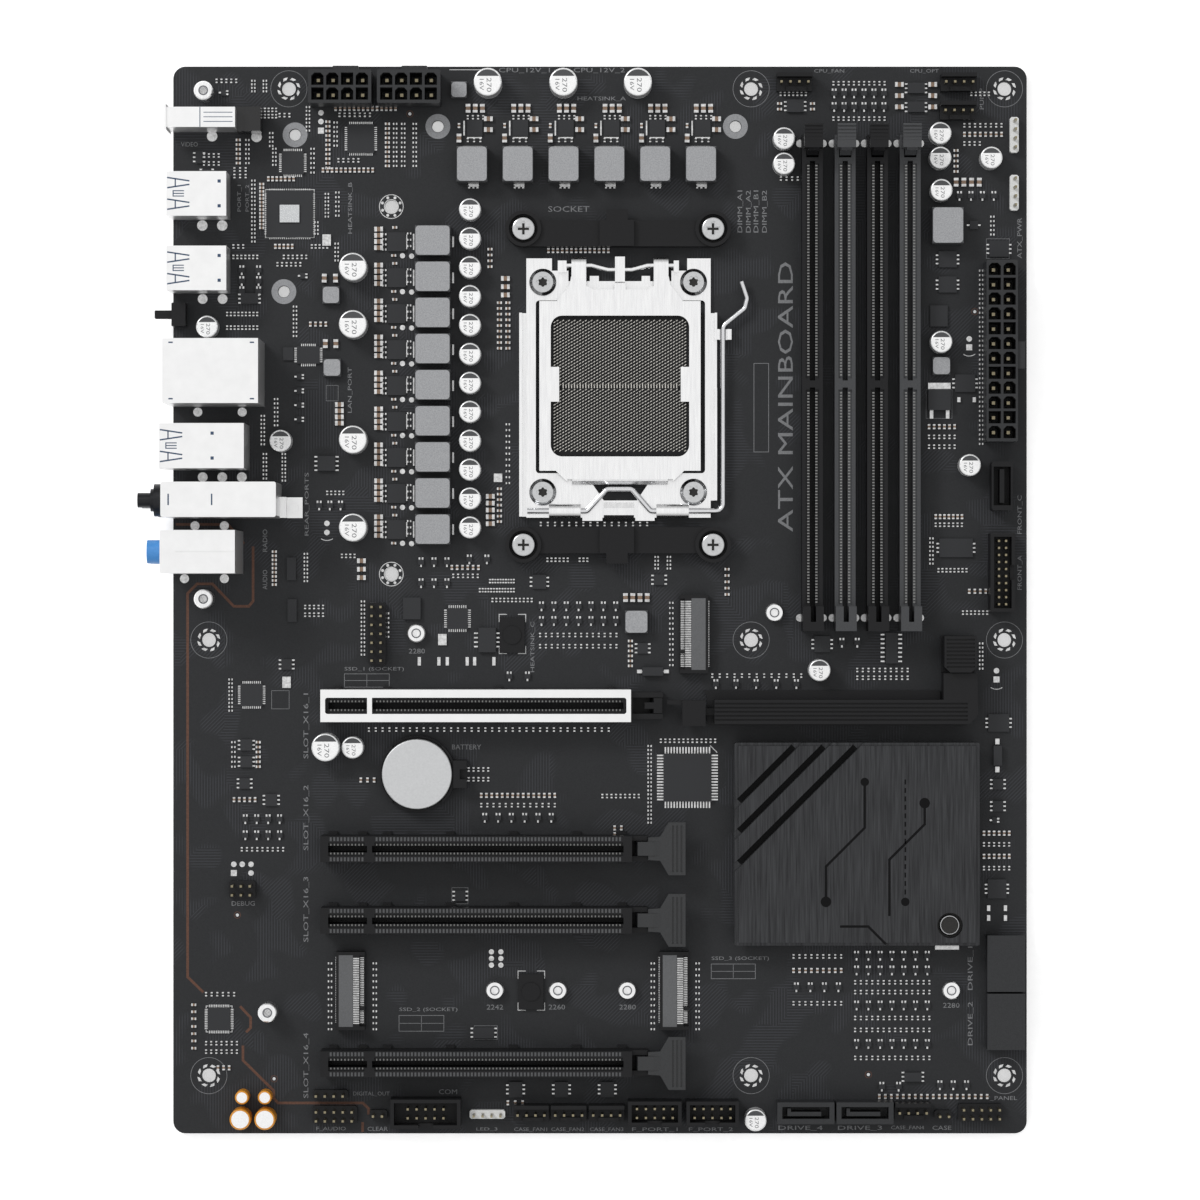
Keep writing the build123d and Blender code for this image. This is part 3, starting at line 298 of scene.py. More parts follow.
# A petal is a sector between two radii in mm, and leans outwards; its angles are in degrees
PETAL_INNER, PETAL_OUTER, PETAL_START, PETAL_ARC, PETAL_LEAN = 2.55, 3.25, 6, 24, 10
VIA_CIRCLE, VIA_RADIUS, RING_LINES = 2.7, 0.42, ((1.9, 2.1), (3.3, 3.5))
petals = bmesh.new()
for u, v in CASE_HOLES:
    for step in range(8):
        start = 45 * step + PETAL_START
        inner = circle(u, v, PETAL_INNER, 3, start, start + PETAL_ARC)
        outer = circle(u, v, PETAL_OUTER, 3, start + PETAL_LEAN, start + PETAL_LEAN + PETAL_ARC)
        add_slab(petals, inner + outer[::-1], *SOLDER)
for u, v in VIA_RING_HOLES:
    for inner, outer in RING_LINES:
        add_ring(petals, u, v, inner, outer, *SOLDER)
    for x, y in circle(u, v, VIA_CIRCLE, 8, 22.5, 382.5):
        add_slab(petals, circle(x, y, VIA_RADIUS, 10), *SOLDER)
place_piece("hole_solder_petals", petals, solder)

# Bare copper with a dull tin wash: grey, with fine turning marks
dull_tin = grained("copper_ring_dull_tin", "#7d7e80", "#96979a", 0.55, 0.3, 0.01, metallic=0.35)
RING_INNER, RING_OUTER = 1.75, 3.55
rings = bmesh.new()
for u, v in HEATSINK_HOLES:
    add_ring(rings, u, v, RING_INNER, RING_OUTER, *film(BOARD_TOP, 0.04), 40)
place_piece("heatsink_hole_rings", rings, dull_tin)


# ---- Guard line round the sound circuit, and the copper fiducials ----
# A gap in the ground copper where the mask lies thinner and shows brown; camera targets for
# the placing machine are bare copper dots in a copper ring.

# Brown laminate through thin mask: matt, with a woven glass mottle of about 0.5 mm
brown = grained("laminate_brown_through_mask", "#50362b", "#654638", 0.6, 0.5, 0.01, specular=0.25)
GUARD_LINES = [
    [(0.7, 130.8), (15.6, 130.8), (20.2, 136.3)],
    [(22.8, 137.1), (22.8, 152.7), (21.6, 154.2), (17.3, 154.2), (11.2, 147.8), (6.8, 147.8),
     (4.1, 150.5), (4.1, 260.1), (8.6, 264.5)],
    [(19.1, 268.5), (22.1, 271.7), (22.1, 274.6), (20.8, 275.9)],
    [(19.9, 279.7), (19.9, 283.9), (28.7, 292.6), (28.7, 294.7), (29.9, 296.1), (54.2, 296.1),
     (55.8, 297.7), (55.8, 299.4)],
    [(54.1, 301.6), (54.1, 304.4)],
]
FIDUCIALS = [(229.0, 70.0), (28.8, 289.2), (198.6, 288.0), (18.3, 242.4), (67.6, 13.5)]
GUARD_WIDTH, DOT_RADIUS = 0.75, 0.45
guard = bmesh.new()
for line in GUARD_LINES:
    add_line(guard, line, GUARD_WIDTH, *film(BOARD_TOP, 0.015))
for u, v in FIDUCIALS:
    add_ring(guard, u, v, 0.85, 1.0, *film(BOARD_TOP, 0.02), 20)
place_piece("guard_line", guard, brown)
targets = bmesh.new()
for u, v in FIDUCIALS:
    add_slab(targets, circle(u, v, DOT_RADIUS, 12), *film(BOARD_TOP, 0.03))
place_piece("fiducials", targets, solder)


# ---- Screen print ----
# Grey epoxy ink, printed through a mesh after the mask: about 20 microns thick, matt, with
# slightly broken edges. Only plain part labels, outlines and keep-out rings are printed.

# Matt ink, mottled where the screen left less of it
ink = grained("epoxy_ink_grey", "#6c6d6f", "#858688", 0.75, 0.25, 0.005, specular=0.2)
# The same ink put on twice, as on the outlines that show white
bright_ink = grained("epoxy_ink_light", "#b9babb", "#d8d8d8", 0.75, 0.25, 0.005, specular=0.2)
INK = film(BOARD_TOP, 0.02)

# (text, centre u, centre v, letter height, length, turn in degrees)
LABELS = [
    ("ATX MAINBOARD", 174.9, 94.4, 4.3, 77, 90), ("CPU_FAN", 187.4, 1.3, 1.2, 8.6, 0),
    ("CPU_OPT", 214.6, 1.3, 1.2, 8.2, 0), ("PUMP", 231, 9.2, 1.2, 6, 90),
    ("ATX_PWR", 241.9, 49, 1.5, 11.6, 90), ("DIMM_A1", 162, 41.4, 1.6, 12, 90),
    ("DIMM_A2", 164.4, 41.4, 1.6, 12, 90), ("DIMM_B1", 166.6, 41.4, 1.6, 12, 90),
    ("DIMM_B2", 169, 41.4, 1.6, 12, 90), ("CPU_12V_1", 100.3, 1.1, 1.5, 14.6, 0),
    ("CPU_12V_2", 121.7, 1.1, 1.5, 14.6, 0), ("SOCKET", 113, 40.7, 1.6, 11.8, 0),
    ("HEATSINK_A", 122.4, 9.2, 1.3, 13.8, 0), ("HEATSINK_B", 50.6, 40.4, 1.3, 14.6, 90),
    ("HEATSINK_C", 102.7, 165.8, 1.3, 14.4, 90), ("VIDEO", 4.6, 22.2, 1.3, 4.8, 0),
    ("PORT_1", 18.9, 37.6, 1.2, 7.6, 90), ("PORT_2", 21.2, 37.6, 1.2, 7.6, 90),
    ("LAN_PORT", 50.5, 92.4, 1.3, 13, 90), ("REAR_PORTS", 38.2, 125, 1.3, 18, 90),
    ("AUDIO", 26.2, 146.6, 1.3, 5.6, 90), ("RADIO", 26.2, 135.4, 1.3, 6.4, 90),
    ("TPM", 58, 153.8, 1.4, 3.5, 0), ("2280", 69.6, 167, 1.4, 4.6, 0),
    ("SSD_1 (SOCKET)", 57.4, 172.2, 1.3, 17, 0), ("SSD_2 (SOCKET)", 72.9, 269.5, 1.3, 16.6, 0),
    ("SSD_3 (SOCKET)", 162, 254.9, 1.3, 16.4, 0), ("SLOT_X16_1", 38, 188.4, 1.6, 18.6, 90),
    ("SLOT_X16_2", 38, 214.6, 1.6, 18.6, 90), ("SLOT_X16_3", 38, 240.8, 1.6, 18.6, 90),
    ("SLOT_X16_4", 38, 285.4, 1.6, 18.6, 90), ("BATTERY", 83.8, 194.4, 1.4, 8.3, 0),
    ("DEBUG", 20, 239.1, 1.3, 6.6, 0), ("DIGITAL_OUT", 56.6, 293.5, 1.3, 10.4, 0),
    ("F_AUDIO", 45.1, 303.5, 1.2, 8.4, 0), ("CLEAR", 58.4, 303.5, 1.2, 5.8, 0),
    ("COM", 78.5, 292.9, 1.4, 5.2, 0), ("LED_3", 89.6, 303.6, 1, 6, 0),
    ("CASE_FAN1", 102.1, 303.7, 1.2, 9.4, 0), ("CASE_FAN2", 112.7, 303.7, 1.2, 9.4, 0),
    ("CASE_FAN3", 123.8, 303.7, 1.2, 9.6, 0), ("F_PORT_1", 137.6, 303.7, 1.2, 13, 0),
    ("F_PORT_2", 153.6, 303.7, 1.2, 12.6, 0), ("DRIVE_4", 179.2, 303.3, 1.4, 12.6, 0),
    ("DRIVE_3", 196.2, 303.3, 1.4, 12.6, 0), ("CASE_FAN4", 209.8, 303.2, 1.2, 9.4, 0),
    ("CASE", 219.6, 303.2, 1.2, 5.4, 0), ("F_PANEL", 236.8, 294.8, 1.3, 8.6, 0),
    ("DRIVE_1", 227.8, 257.6, 1.6, 12.4, 90), ("DRIVE_2", 227.8, 273.4, 1.6, 12.4, 90),
    ("2242", 91.9, 268.7, 1.4, 4.7, 0), ("2260", 109.6, 268.7, 1.4, 4.7, 0),
    ("2280", 129.8, 268.7, 1.4, 4.7, 0), ("2280", 222.3, 268.2, 1.4, 4.7, 0),
    ("FRONT_C", 241.9, 128, 1.4, 11, 90), ("FRONT_A", 241.9, 144.6, 1.4, 9.8, 90),
]


def baked(host):
    """An object's evaluated shape as a plain mesh. The object goes."""
    bpy.context.view_layer.update()
    mesh = bpy.data.meshes.new_from_object(host.evaluated_get(bpy.context.evaluated_depsgraph_get()))
    bpy.data.objects.remove(host)
    return mesh


def text_mesh(words):
    """Letters as a closed mesh, one unit thick."""
    curve = bpy.data.curves.new("letters", "FONT")
    curve.body = words
    curve.resolution_u = 2
    curve.extrude = 0.5
    host = bpy.data.objects.new("letters", curve)
    IN_SCENE.link(host)
    mesh = baked(host)
    bpy.data.curves.remove(curve)
    return mesh


def add_words(mesh, words, u, v, height, length, turn, z_low, z_high):
    """Raised letters of a given height and length, centred on a place and turned."""
    letters = text_mesh(words)
    low = Vector([min(p.co[i] for p in letters.vertices) for i in range(3)])
    high = Vector([max(p.co[i] for p in letters.vertices) for i in range(3)])
    size = high - low
    letters.transform(
        Matrix.Translation(at(u, v, (z_low + z_high) / 2)) @ Matrix.Rotation(math.radians(turn), 4, "Z")
        @ Matrix.Diagonal((length * MM / size.x, height * MM / size.y, (z_high - z_low) * MM / size.z, 1))
        @ Matrix.Translation(-(low + high) / 2))
    mesh.from_mesh(letters)
    bpy.data.meshes.remove(letters)


prints = bmesh.new()
for words, u, v, height, length, turn in LABELS:
    add_words(prints, words, u, v, height, length, turn, *INK)
bmesh.ops.remove_doubles(prints, verts=prints.verts, dist=1e-7)
place_piece("printed_labels", prints, ink)


def box_line(u_low, u_high, v_low, v_high):
    """The corners of a box, back to the first."""
    return [(u_low, v_low), (u_high, v_low), (u_high, v_high), (u_low, v_high), (u_low, v_low)]


# Widths of the printed lines, and the keep-out ring of a case hole
BOX_LINE, RULE_LINE, PART_LINE, CORNER_LINE = 0.16, 0.14, 0.12, 0.22
KEEP_OUT_INNER, KEEP_OUT_OUTER = 5.1, 5.24
# Boxes under the names of the drive sockets, ruled into four
RULED_BOXES = [(48.9, 61.7, 173.5, 177.3), (64.5, 77.3, 271.1, 275.6), (153.7, 166.3, 256.4, 260.6)]
# (u, v, length, width) of the boxes round parts
PART_BOXES = [(30.6, 180.9, 5.0, 5.2), (235.6, 52.0, 6.6, 5.6), (45.4, 93.3, 3.4, 4.4),
              (218.8, 96.4, 7.4, 8.2), (89.3, 276.0, 6.6, 3.9), (81.9, 236.9, 4.6, 4.6)]
outlines = bmesh.new()
for u, v in CASE_HOLES:
    add_ring(outlines, u, v, KEEP_OUT_INNER, KEEP_OUT_OUTER, *INK, 64)
add_line(outlines, box_line(165.9, 170.1, 84.8, 110.1), BOX_LINE, *INK)
for u_low, u_high, v_low, v_high in RULED_BOXES:
    u, v = (u_low + u_high) / 2, (v_low + v_high) / 2
    add_line(outlines, box_line(u_low, u_high, v_low, v_high), BOX_LINE, *INK)
    add_line(outlines, [(u_low, v), (u_high, v)], RULE_LINE, *INK)
    add_line(outlines, [(u, v_low), (u, v_high)], RULE_LINE, *INK)
for u, v, size_u, size_v in PART_BOXES:
    add_line(outlines, box_line(u - size_u / 2, u + size_u / 2, v - size_v / 2, v + size_v / 2),
             PART_LINE, *INK)
place_piece("printed_outlines", outlines, ink)

# (u, v, length, width, arm) of the four corner marks round a chip or a pad
CORNER_MARKS = [(33.3, 42.0, 13.9, 13.7, 5.3), (96.9, 162.1, 7.6, 11.2, 2.2),
                (102.3, 264.0, 7.6, 11.2, 2.2), (13.1, 272.1, 7.4, 7.4, 0.6)]
TEST_PAD_ARCS = [(43.9, 134.9), (227.4, 82.2), (235.2, 177.4)]
corners = bmesh.new()
for u, v, size_u, size_v, arm in CORNER_MARKS:
    for side_u in (-1, 1):
        for side_v in (-1, 1):
            x, y = u + side_u * size_u / 2, v + side_v * size_v / 2
            add_line(corners, [(x - side_u * arm, y), (x, y), (x, y - side_v * arm)], CORNER_LINE, *INK)
for u, v in TEST_PAD_ARCS:
    add_line(corners, circle(u, v - 2.4, 2.9, 8, 55, 125), CORNER_LINE, *INK)
add_line(corners, [(153.4, 194.0), (155.4, 196.0)], 0.25, *INK)
add_line(corners, [(78.9, 0.9), (88.0, 0.9)], 0.18, *INK)
place_piece("printed_corner_marks", corners, bright_ink)


# ---- Small surface-mounted parts ----
# Resistors, ceramic capacitors and transistors, placed by machine on printed solder paste and
# reflowed. Each has two tinned ends on a dark or copper-brown body, or three short legs.
def scatter(name, part, places, finish, body="board", size=1.0, unevenness=0.0):
    """Copies of a part at (u, v, z, turn, length, width, height) places, as one plain mesh."""
    tree = bpy.data.node_groups.new(name + "_tree", "GeometryNodeTree")
    for label, kind in (("Points", "Geometry"), ("Part", "Object"), ("Size", "Float"),
                        ("Unevenness", "Float"), ("Finish", "Material")):
        tree.interface.new_socket(name=label, in_out="INPUT", socket_type="NodeSocket" + kind)
    tree.interface.new_socket(name="Geometry", in_out="OUTPUT", socket_type="NodeSocketGeometry")
    given = add(tree, "NodeGroupInput").outputs
    shape = add(tree, "GeometryNodeObjectInfo", {"transform_space": "ORIGINAL"}, {"Object": given["Part"]})
    turn = add(tree, "GeometryNodeInputNamedAttribute", {"data_type": "FLOAT"}, {"Name": "turn"})
    low = add(tree, "ShaderNodeMath", {"operation": "MULTIPLY"}, {0: given["Unevenness"], 1: -1.0})
    wobble = add(tree, "FunctionNodeRandomValue", {"data_type": "FLOAT"},
                 {2: low.outputs[0], 3: given["Unevenness"], "Seed": 7})
    both = add(tree, "ShaderNodeMath", {"operation": "ADD"}, {0: turn.outputs[0], 1: wobble.outputs[1]})
    facing = add(tree, "ShaderNodeCombineXYZ", sockets={"Z": both.outputs[0]})
    rotation = add(tree, "FunctionNodeEulerToRotation", sockets={0: facing.outputs[0]})
    stretch = add(tree, "GeometryNodeInputNamedAttribute", {"data_type": "FLOAT_VECTOR"}, {"Name": "stretch"})
    scale = add(tree, "ShaderNodeVectorMath", {"operation": "SCALE"},
                {0: stretch.outputs[0], "Scale": given["Size"]})
    copies = add(tree, "GeometryNodeInstanceOnPoints", sockets={
        "Points": given["Points"], "Instance": shape.outputs["Geometry"], "Rotation": rotation.outputs[0],
        "Scale": scale.outputs[0]})
    real = add(tree, "GeometryNodeRealizeInstances", sockets={"Geometry": copies.outputs[0]})
    coated = add(tree, "GeometryNodeSetMaterial", sockets={
        "Geometry": real.outputs[0], "Material": given["Finish"]})
    add(tree, "NodeGroupOutput", sockets={"Geometry": coated.outputs[0]})

    points = bpy.data.meshes.new(name + "_points")
    points.from_pydata([at(u, v, z) for u, v, z, *_ in places], [], [])
    points.attributes.new("turn", "FLOAT", "POINT").data.foreach_set(
        "value", [math.radians(place[3]) for place in places])
    points.attributes.new("stretch", "FLOAT_VECTOR", "POINT").data.foreach_set(
        "vector", [length * MM for place in places for length in place[4:7]])
    host = bpy.data.objects.new(name + "_host", points)
    IN_SCENE.link(host)
    IN_SCENE.link(part)
    modifier = host.modifiers.new(name, "NODES")
    modifier.node_group = tree
    inputs = {"Part": part, "Size": size, "Unevenness": unevenness, "Finish": finish}
    for item in tree.interface.items_tree:
        if item.in_out == "INPUT" and item.name in inputs:
            modifier[item.identifier] = inputs[item.name]
    mesh = baked(host)
    IN_SCENE.unlink(part)
    for name_left in [a.name for a in mesh.attributes if a.name in ("turn", "stretch")]:
        mesh.attributes.remove(mesh.attributes[name_left])
    return place_piece(name, mesh, finish, body)


def unit_part(name, blocks):
    """A part one unit long, wide and high, of boxes given by their two opposite corners."""
    mesh = bmesh.new()
    for low, high in blocks:
        points = [mesh.verts.new((x, y, z)) for z in (low[2], high[2])
                  for x, y in ((low[0], low[1]), (high[0], low[1]), (high[0], high[1]), (low[0], high[1]))]
        for face in ((0, 1, 2, 3), (4, 5, 6, 7), (0, 1, 5, 4), (1, 2, 6, 5), (2, 3, 7, 6), (3, 0, 4, 7)):
            mesh.faces.new([points[i] for i in face])
    return bpy.data.objects.new(name, finished(name, mesh))


def on_board(parts):
    """Scatter places of (u, v, turn, length, width, height) parts that stand on the board."""
    return [(u, v, BOARD_TOP, *rest) for u, v, *rest in parts]


box_part = unit_part("box_part", [((-0.5, -0.5, 0), (0.5, 0.5, 1))])
two_ends = unit_part("two_ends", [
    ((-0.6, -0.52, 0), (-0.24, 0.52, 1)), ((0.24, -0.52, 0), (0.6, 0.52, 1))])
three_legs = unit_part("three_legs", [
    ((-0.62, -0.16, 0), (-0.3, 0.16, 0.6)), ((0.3, -0.46, 0), (0.62, -0.14, 0.6)),
    ((0.3, 0.14, 0), (0.62, 0.46, 0.6))])

# Rows of (u, v, count) for each kind: r is a resistor, c a brown ceramic capacitor, b a larger
# brown one and t a three-legged transistor. A row runs between the two places of its pair, with
# its parts across it, and a list holds several rows side by side.
ROWS = {
    "r": [
        ((12.4, 18), 4.1, 5), ([22.9, 26.2], (4.1, 7.1), 4), ((26.2, 29.4), [12.4, 14.2], 4),
        ((30.4, 33.2), 13.9, 3), (38.5, (11.6, 18.3), 7), ((47.5, 56.2), 13.8, 7),
        ([63.4, 65.7, 69], (16.4, 28.4), 10), (46.4, (16, 22.6), 6), ((47.2, 52.9), 26.8, 5),
        (28.9, (23.5, 28.1), 5), (39.8, (23.5, 30.3), 6), (28, (19, 22.7), 4), (21.2, (21, 27.6), 6),
        ((8.8, 13), [25.4, 27.7], 4), ((17.5, 20.7), [29.4, 31.3], 3), (22.9, (32.6, 50), 16),
        (43.9, (36.4, 42.9), 7), (46.9, (36, 42.6), 6), (40.9, (44.5, 47.8), 4), (46.7, (50.6, 55.4), 5),
        ((17.2, 20), 51.4, 3), ((39.6, 44), 51.4, 5), ((17.2, 24), 54.4, 7), ((31.6, 38), 54.4, 6),
        ((29.8, 36.3), 56.5, 6), ((15.4, 24), [70.7, 74.6], 9), (34.8, (68.6, 77), 8),
        (29.4, (95, 102.5), 7), (25.6, (99.8, 107.9), 8), (26.2, (110.7, 117.7), 7),
        (31.6, (110.7, 118.3), 8), ((44, 48.6), 121.8, 5), ((48.2, 51.8), 139.8, 4),
        (37.9, (139.2, 147), 8), ((37.7, 42.8), [154.4, 156.6], 5), (54.2, (152.8, 168), 14),
        (61.1, (156.2, 162.9), 6), (95.6, (102.2, 119), 11), ((105, 135.4), 130.7, 16),
        ((90.5, 97.3), 147, 10), ((87.6, 97.3), 149.6, 13), ((80, 87), 145.5, 6),
        ((91.2, 102.4), 152.4, 11), ((106.9, 112.7), 140.9, 6), ((116.1, 118.3), 140.9, 3),
        ([138.1, 141.6], (140.1, 143.4), 4), ((104.8, 126.6), [162.4, 165.6], 14),
        (142.3, (153.2, 171), 13), ((173.5, 180.7), 7.8, 7), ((188.6, 203.2), [4.8, 14.9], 11),
        ((228, 233), 7.8, 5), ((226, 236.6), 16.8, 8), ((226, 230.4), 22, 4), (234, (42.9, 48), 5),
        (230.8, (58.3, 107.8), 38), ((215.9, 223.2), [105.8, 108.6], 6), ((217.8, 225.3), 130.9, 7),
        (216.6, (134.8, 142), 7), ((218.6, 226.6), 143.9, 8), ((225.6, 232.5), 156, 7),
        (16.4, (175.1, 184), 9), (17.2, (193, 200), 6), ((19.6, 31.4), 223.6, 9),
        ((55.9, 124.4), 189.4, 36), ((84.4, 90), [200.8, 203.6], 5), ((88, 109), 211, 13),
        ((139.3, 154.8), 192.6, 13), (136.1, (194.1, 216), 20), ((122.6, 133), 208.4, 9),
        ([44.8, 57.6, 137, 149.8], (256.2, 275), 12), ((154, 179.4), 174, 13),
        ((195.4, 209.8), [172.4, 174.6], 10), (230.8, (164.8, 172), 7), ((231.6, 238.8), [222.2, 229], 6),
        ((194.8, 216), [261.6, 264.4, 271.8, 275.2, 283.2], 14), ((177.2, 190.8), [254.2, 267.6], 9),
        ((9.4, 18.2), [279, 281.4], 7), ((9.4, 17.4), 265, 6), (150.6, (300.9, 296), 4),
        (64.2, (295.6, 301.6), 5), ((173.6, 178.4), 32, 4), ((140, 148), 133, 6), ((166.4, 172), 180.2, 4),
    ],
    "c": [
        ((46.4, 63.5), 12, 14), (61.2, (16.4, 28.4), 10), (44.2, (15.8, 29), 11), ((42.8, 57), 29.6, 12),
        (18.6, (21, 27.6), 6), (25.3, (33.6, 46.1), 13), ((27.2, 34.4), 32.1, 7), ((29.2, 34), 51.4, 5),
        ((39.2, 43.6), 73.6, 4), (28.9, (138.6, 148), 9), ((107.2, 124.3), 52.6, 14),
        (90.5, (52.2, 57.2), 4), ([93.2, 95.6], (67.5, 80.5), 9), (93.2, (120.6, 130), 7),
        ((79.6, 87.2), 143.1, 6), (130.6, (164.1, 171.2), 6), ([173.2, 182.6], (10.6, 12.2), 2),
        ((226, 236.6), 19.4, 8), (223.6, (24, 30), 5), ((215.9, 223.2), 102.9, 6),
        ((217.8, 225.3), 128.6, 7), ((227.4, 232.1), 149.9, 4), (24.3, (193, 200), 6),
        ((17.4, 23.4), 209.4, 5), ((88, 109), 208.2, 15), ((126.1, 128), [217.5, 219.4], 2),
        ((95.6, 99.8), 296, 3), ((231.6, 238.8), [219, 225.6], 6), ((177.2, 190.8), 258.2, 9),
        ((201.7, 232.5), 294.2, 19), (5.9, (268, 272), 3), (5.9, (274.2, 280.4), 4), ((12.8, 16), 286, 3),
        ((53.6, 57.4), 203.8, 3), (158.2, (143.6, 150.8), 5),
    ],
    "b": [
        ((43.2, 46.4), 60.5, 2), ((43.5, 46.5), 79.2, 2), (47.5, (96.6, 101.9), 4), (53.8, (141.2, 146), 3),
        (94.9, (60.6, 65.3), 3), (90.6, (122.8, 130.6), 5), ((129.2, 135.4), 151.7, 4),
        ([207.4, 216.9], (5.2, 11.6), 3), ((223.6, 230.2), 33.1, 4),
    ],
    "t": [
        (14.4, (7.5, 7.5), 1), ((19.6, 24.4), [58.2, 61.3, 64.2], 2), (37, (59.8, 59.8), 1),
        (36, (88.6, 100.8), 4), ((41.7, 47.8), 125.4, 3), ((70.8, 78.2), [141.6, 147.6], 3),
        ((84.6, 89.6), 140.8, 2), ((105.2, 126.4), [154.2, 158.4], 7), ((96, 101.2), 174.2, 2),
        ((188.8, 203), [7.7, 11.6], 6), ((224.6, 234.4), 37, 4), ((20.6, 30.4), [215, 219.6], 4),
        ((89, 108), 214.6, 6), ((155, 178), 176.4, 5), ((191, 195.4), 164.6, 2), (234.6, (215.3, 215.3), 1),
        ((195.2, 215.4), [254, 258.2, 268.2, 279.2], 7), ((178, 190), 263, 4), ((202.4, 207.2), 291.4, 2),
        ((219, 226.6), 291, 3),
    ],
}
# Six power stages above the socket and nine beside it repeat these rows about their centres
STAGE_PITCH_U, STAGE_PITCH_V = 13.03, 10.27
CHOKE_U, CHOKE_V = 85.5, 50.1
STAGE_ROW = [
    ("b", (-1.9, 2.2), -5.6, 3), ("r", (-2, 2.4), -3.1, 4), ("b", 3.9, (-2.6, 0.5), 2),
    ("c", (-4.5, -4.5), -0.7, 1), ("b", (-4.5, -4.5), 2.9, 1), ("r", (-2, 1.6), 3.4, 3),
    ("r", (-1.6, 0.8), 16.6, 3),
]
STAGE_COLUMN = [
    ("b", -5.1, (-3.6, 1.7), 4), ("c", -0.5, (-4.1, -4.1), 1), ("c", -0.8, (3.9, 3.9), 1),
    ("r", -3.5, (-2.2, 2.2), 4), ("r", 3.6, (-2.4, 1.2), 3),
]


def moved(place, offset):
    """One coordinate, or a pair of them, moved along the board."""
    return tuple(p + offset for p in place) if isinstance(place, tuple) else place + offset


for stage, centre_u, centre_v in (
        [(STAGE_ROW, 86.15 + STAGE_PITCH_U * i, 17.6) for i in range(6)]
        + [(STAGE_COLUMN, 63.8, CHOKE_V + STAGE_PITCH_V * i) for i in range(9)]):
    for kind, u, v, count in stage:
        ROWS[kind].append((moved(u, centre_u), moved(v, centre_v), count))

# length, width and height in mm of each kind
PART_SIZES = {"r": (1.0, 0.52, 0.35), "c": (1.15, 0.66, 0.6), "b": (2.0, 1.25, 1.1), "t": (2.2, 1.5, 0.9)}


def row_places(u, v, count, size):
    """Each part of a row, or of several rows side by side."""
    along_u = isinstance(u, tuple)
    (first, last), lines = (u, v) if along_u else (v, u)
    places = []
    for line in lines if isinstance(lines, list) else [lines]:
        for i in range(count):
            place = first + (last - first) * (i / (count - 1) if count > 1 else 0)
            places.append(((place, line, BOARD_TOP, 90) if along_u else (line, place, BOARD_TOP, 0)) + size)
    return places


placed = {kind: [part for row in rows for part in row_places(*row, PART_SIZES[kind])]
          for kind, rows in ROWS.items()}
# Fired alumina with a glass coat: near-black and glossy
resistor_glass = grained("resistor_glass_black", "#141416", "#232326", 0.25, 0.3, 0.004)
# Barium titanate ceramic: matt brown with a fine fired grain
ceramic = grained("capacitor_ceramic_brown", "#6a5444", "#8c7460", 0.5, 0.2, 0.006)
# Moulded epoxy: matt near-black, with the mould's spark-worn texture
epoxy = grained("epoxy_moulded_black", "#242527", "#2d2e31", 0.5, 0.12, 0.008, specular=0.3)
# Parts settle a little out of square as the solder melts: up to this many radians
SETTLED = 0.03
scatter("resistor_bodies", box_part, placed["r"], resistor_glass, unevenness=SETTLED)
scatter("ceramic_bodies", box_part, placed["c"] + placed["b"], ceramic, unevenness=SETTLED)
scatter("part_end_caps", two_ends, placed["r"] + placed["c"] + placed["b"], solder,
        size=1.03, unevenness=SETTLED)
TRANSISTOR_BODY = (1.4, 1.7, 0.95)
scatter("transistor_bodies", box_part, [spot[:4] + TRANSISTOR_BODY for spot in placed["t"]], epoxy)
scatter("transistor_legs", three_legs, placed["t"], solder)
# (u, v, length, width, height)
SMALL_CHIPS = [
    (21.8, 66.3, 4.9, 3, 1.2), (33.8, 143.5, 2.6, 6.5, 0.9), (34, 155.4, 2.6, 6.5, 0.9),
    (68.2, 154.8, 5, 6.2, 1.4), (138.8, 146.6, 3, 3, 0.8), (134.1, 166.2, 3, 3, 0.8),
    (177.7, 11.3, 4.9, 3.6, 1.2), (212.2, 6.2, 4.9, 3, 1.2), (212.2, 11.6, 4.9, 3, 1.2),
    (228.7, 45.3, 2.4, 2.4, 0.8), (221.2, 55.1, 5.2, 4.6, 0.9), (221.2, 62.3, 5.2, 4.6, 0.9),
    (218.7, 71.3, 5, 6, 1), (235.9, 52.1, 5.6, 4.6, 0.9), (218.8, 95.2, 6.4, 6, 2.2),
    (226.2, 90.5, 5.8, 5, 0.9), (223.6, 137.5, 9.6, 5.3, 0.9), (20.4, 204.8, 3, 3, 0.8),
    (28, 209.5, 3.4, 3.4, 0.8), (82, 236.9, 3, 3, 0.8), (97.8, 292.2, 3.9, 4.4, 1.2),
    (110.9, 292.2, 3.9, 4.4, 1.2), (124, 292.2, 3.9, 4.4, 1.2), (185.4, 165, 4.6, 4.6, 0.9),
    (235.8, 187.5, 6, 5, 0.9), (235.6, 205, 3, 3, 0.8), (235.6, 211.3, 3, 3, 0.8),
    (235.3, 234.9, 5.4, 5.4, 0.9), (211.3, 288.6, 4.9, 2.6, 1.2), (20.9, 193.8, 3.4, 3.2, 0.9),
    (20.9, 198.6, 3.4, 3.2, 0.9), (9.6, 30.6, 2.6, 2.6, 0.8), (88.7, 276, 6, 3.2, 0.9),
    (7.4, 25.9, 2, 3.6, 0.9), (104.6, 147.2, 4, 4, 0.9), (32.4, 170.8, 3, 3, 0.8),
    (137, 172.8, 5.9, 2.4, 2.2), (235.4, 196.8, 2.4, 5.7, 2.2),
]
scatter("small_chip_bodies", box_part, [(u, v, BOARD_TOP, 0, a, b, h) for u, v, a, b, h in SMALL_CHIPS],
        epoxy)
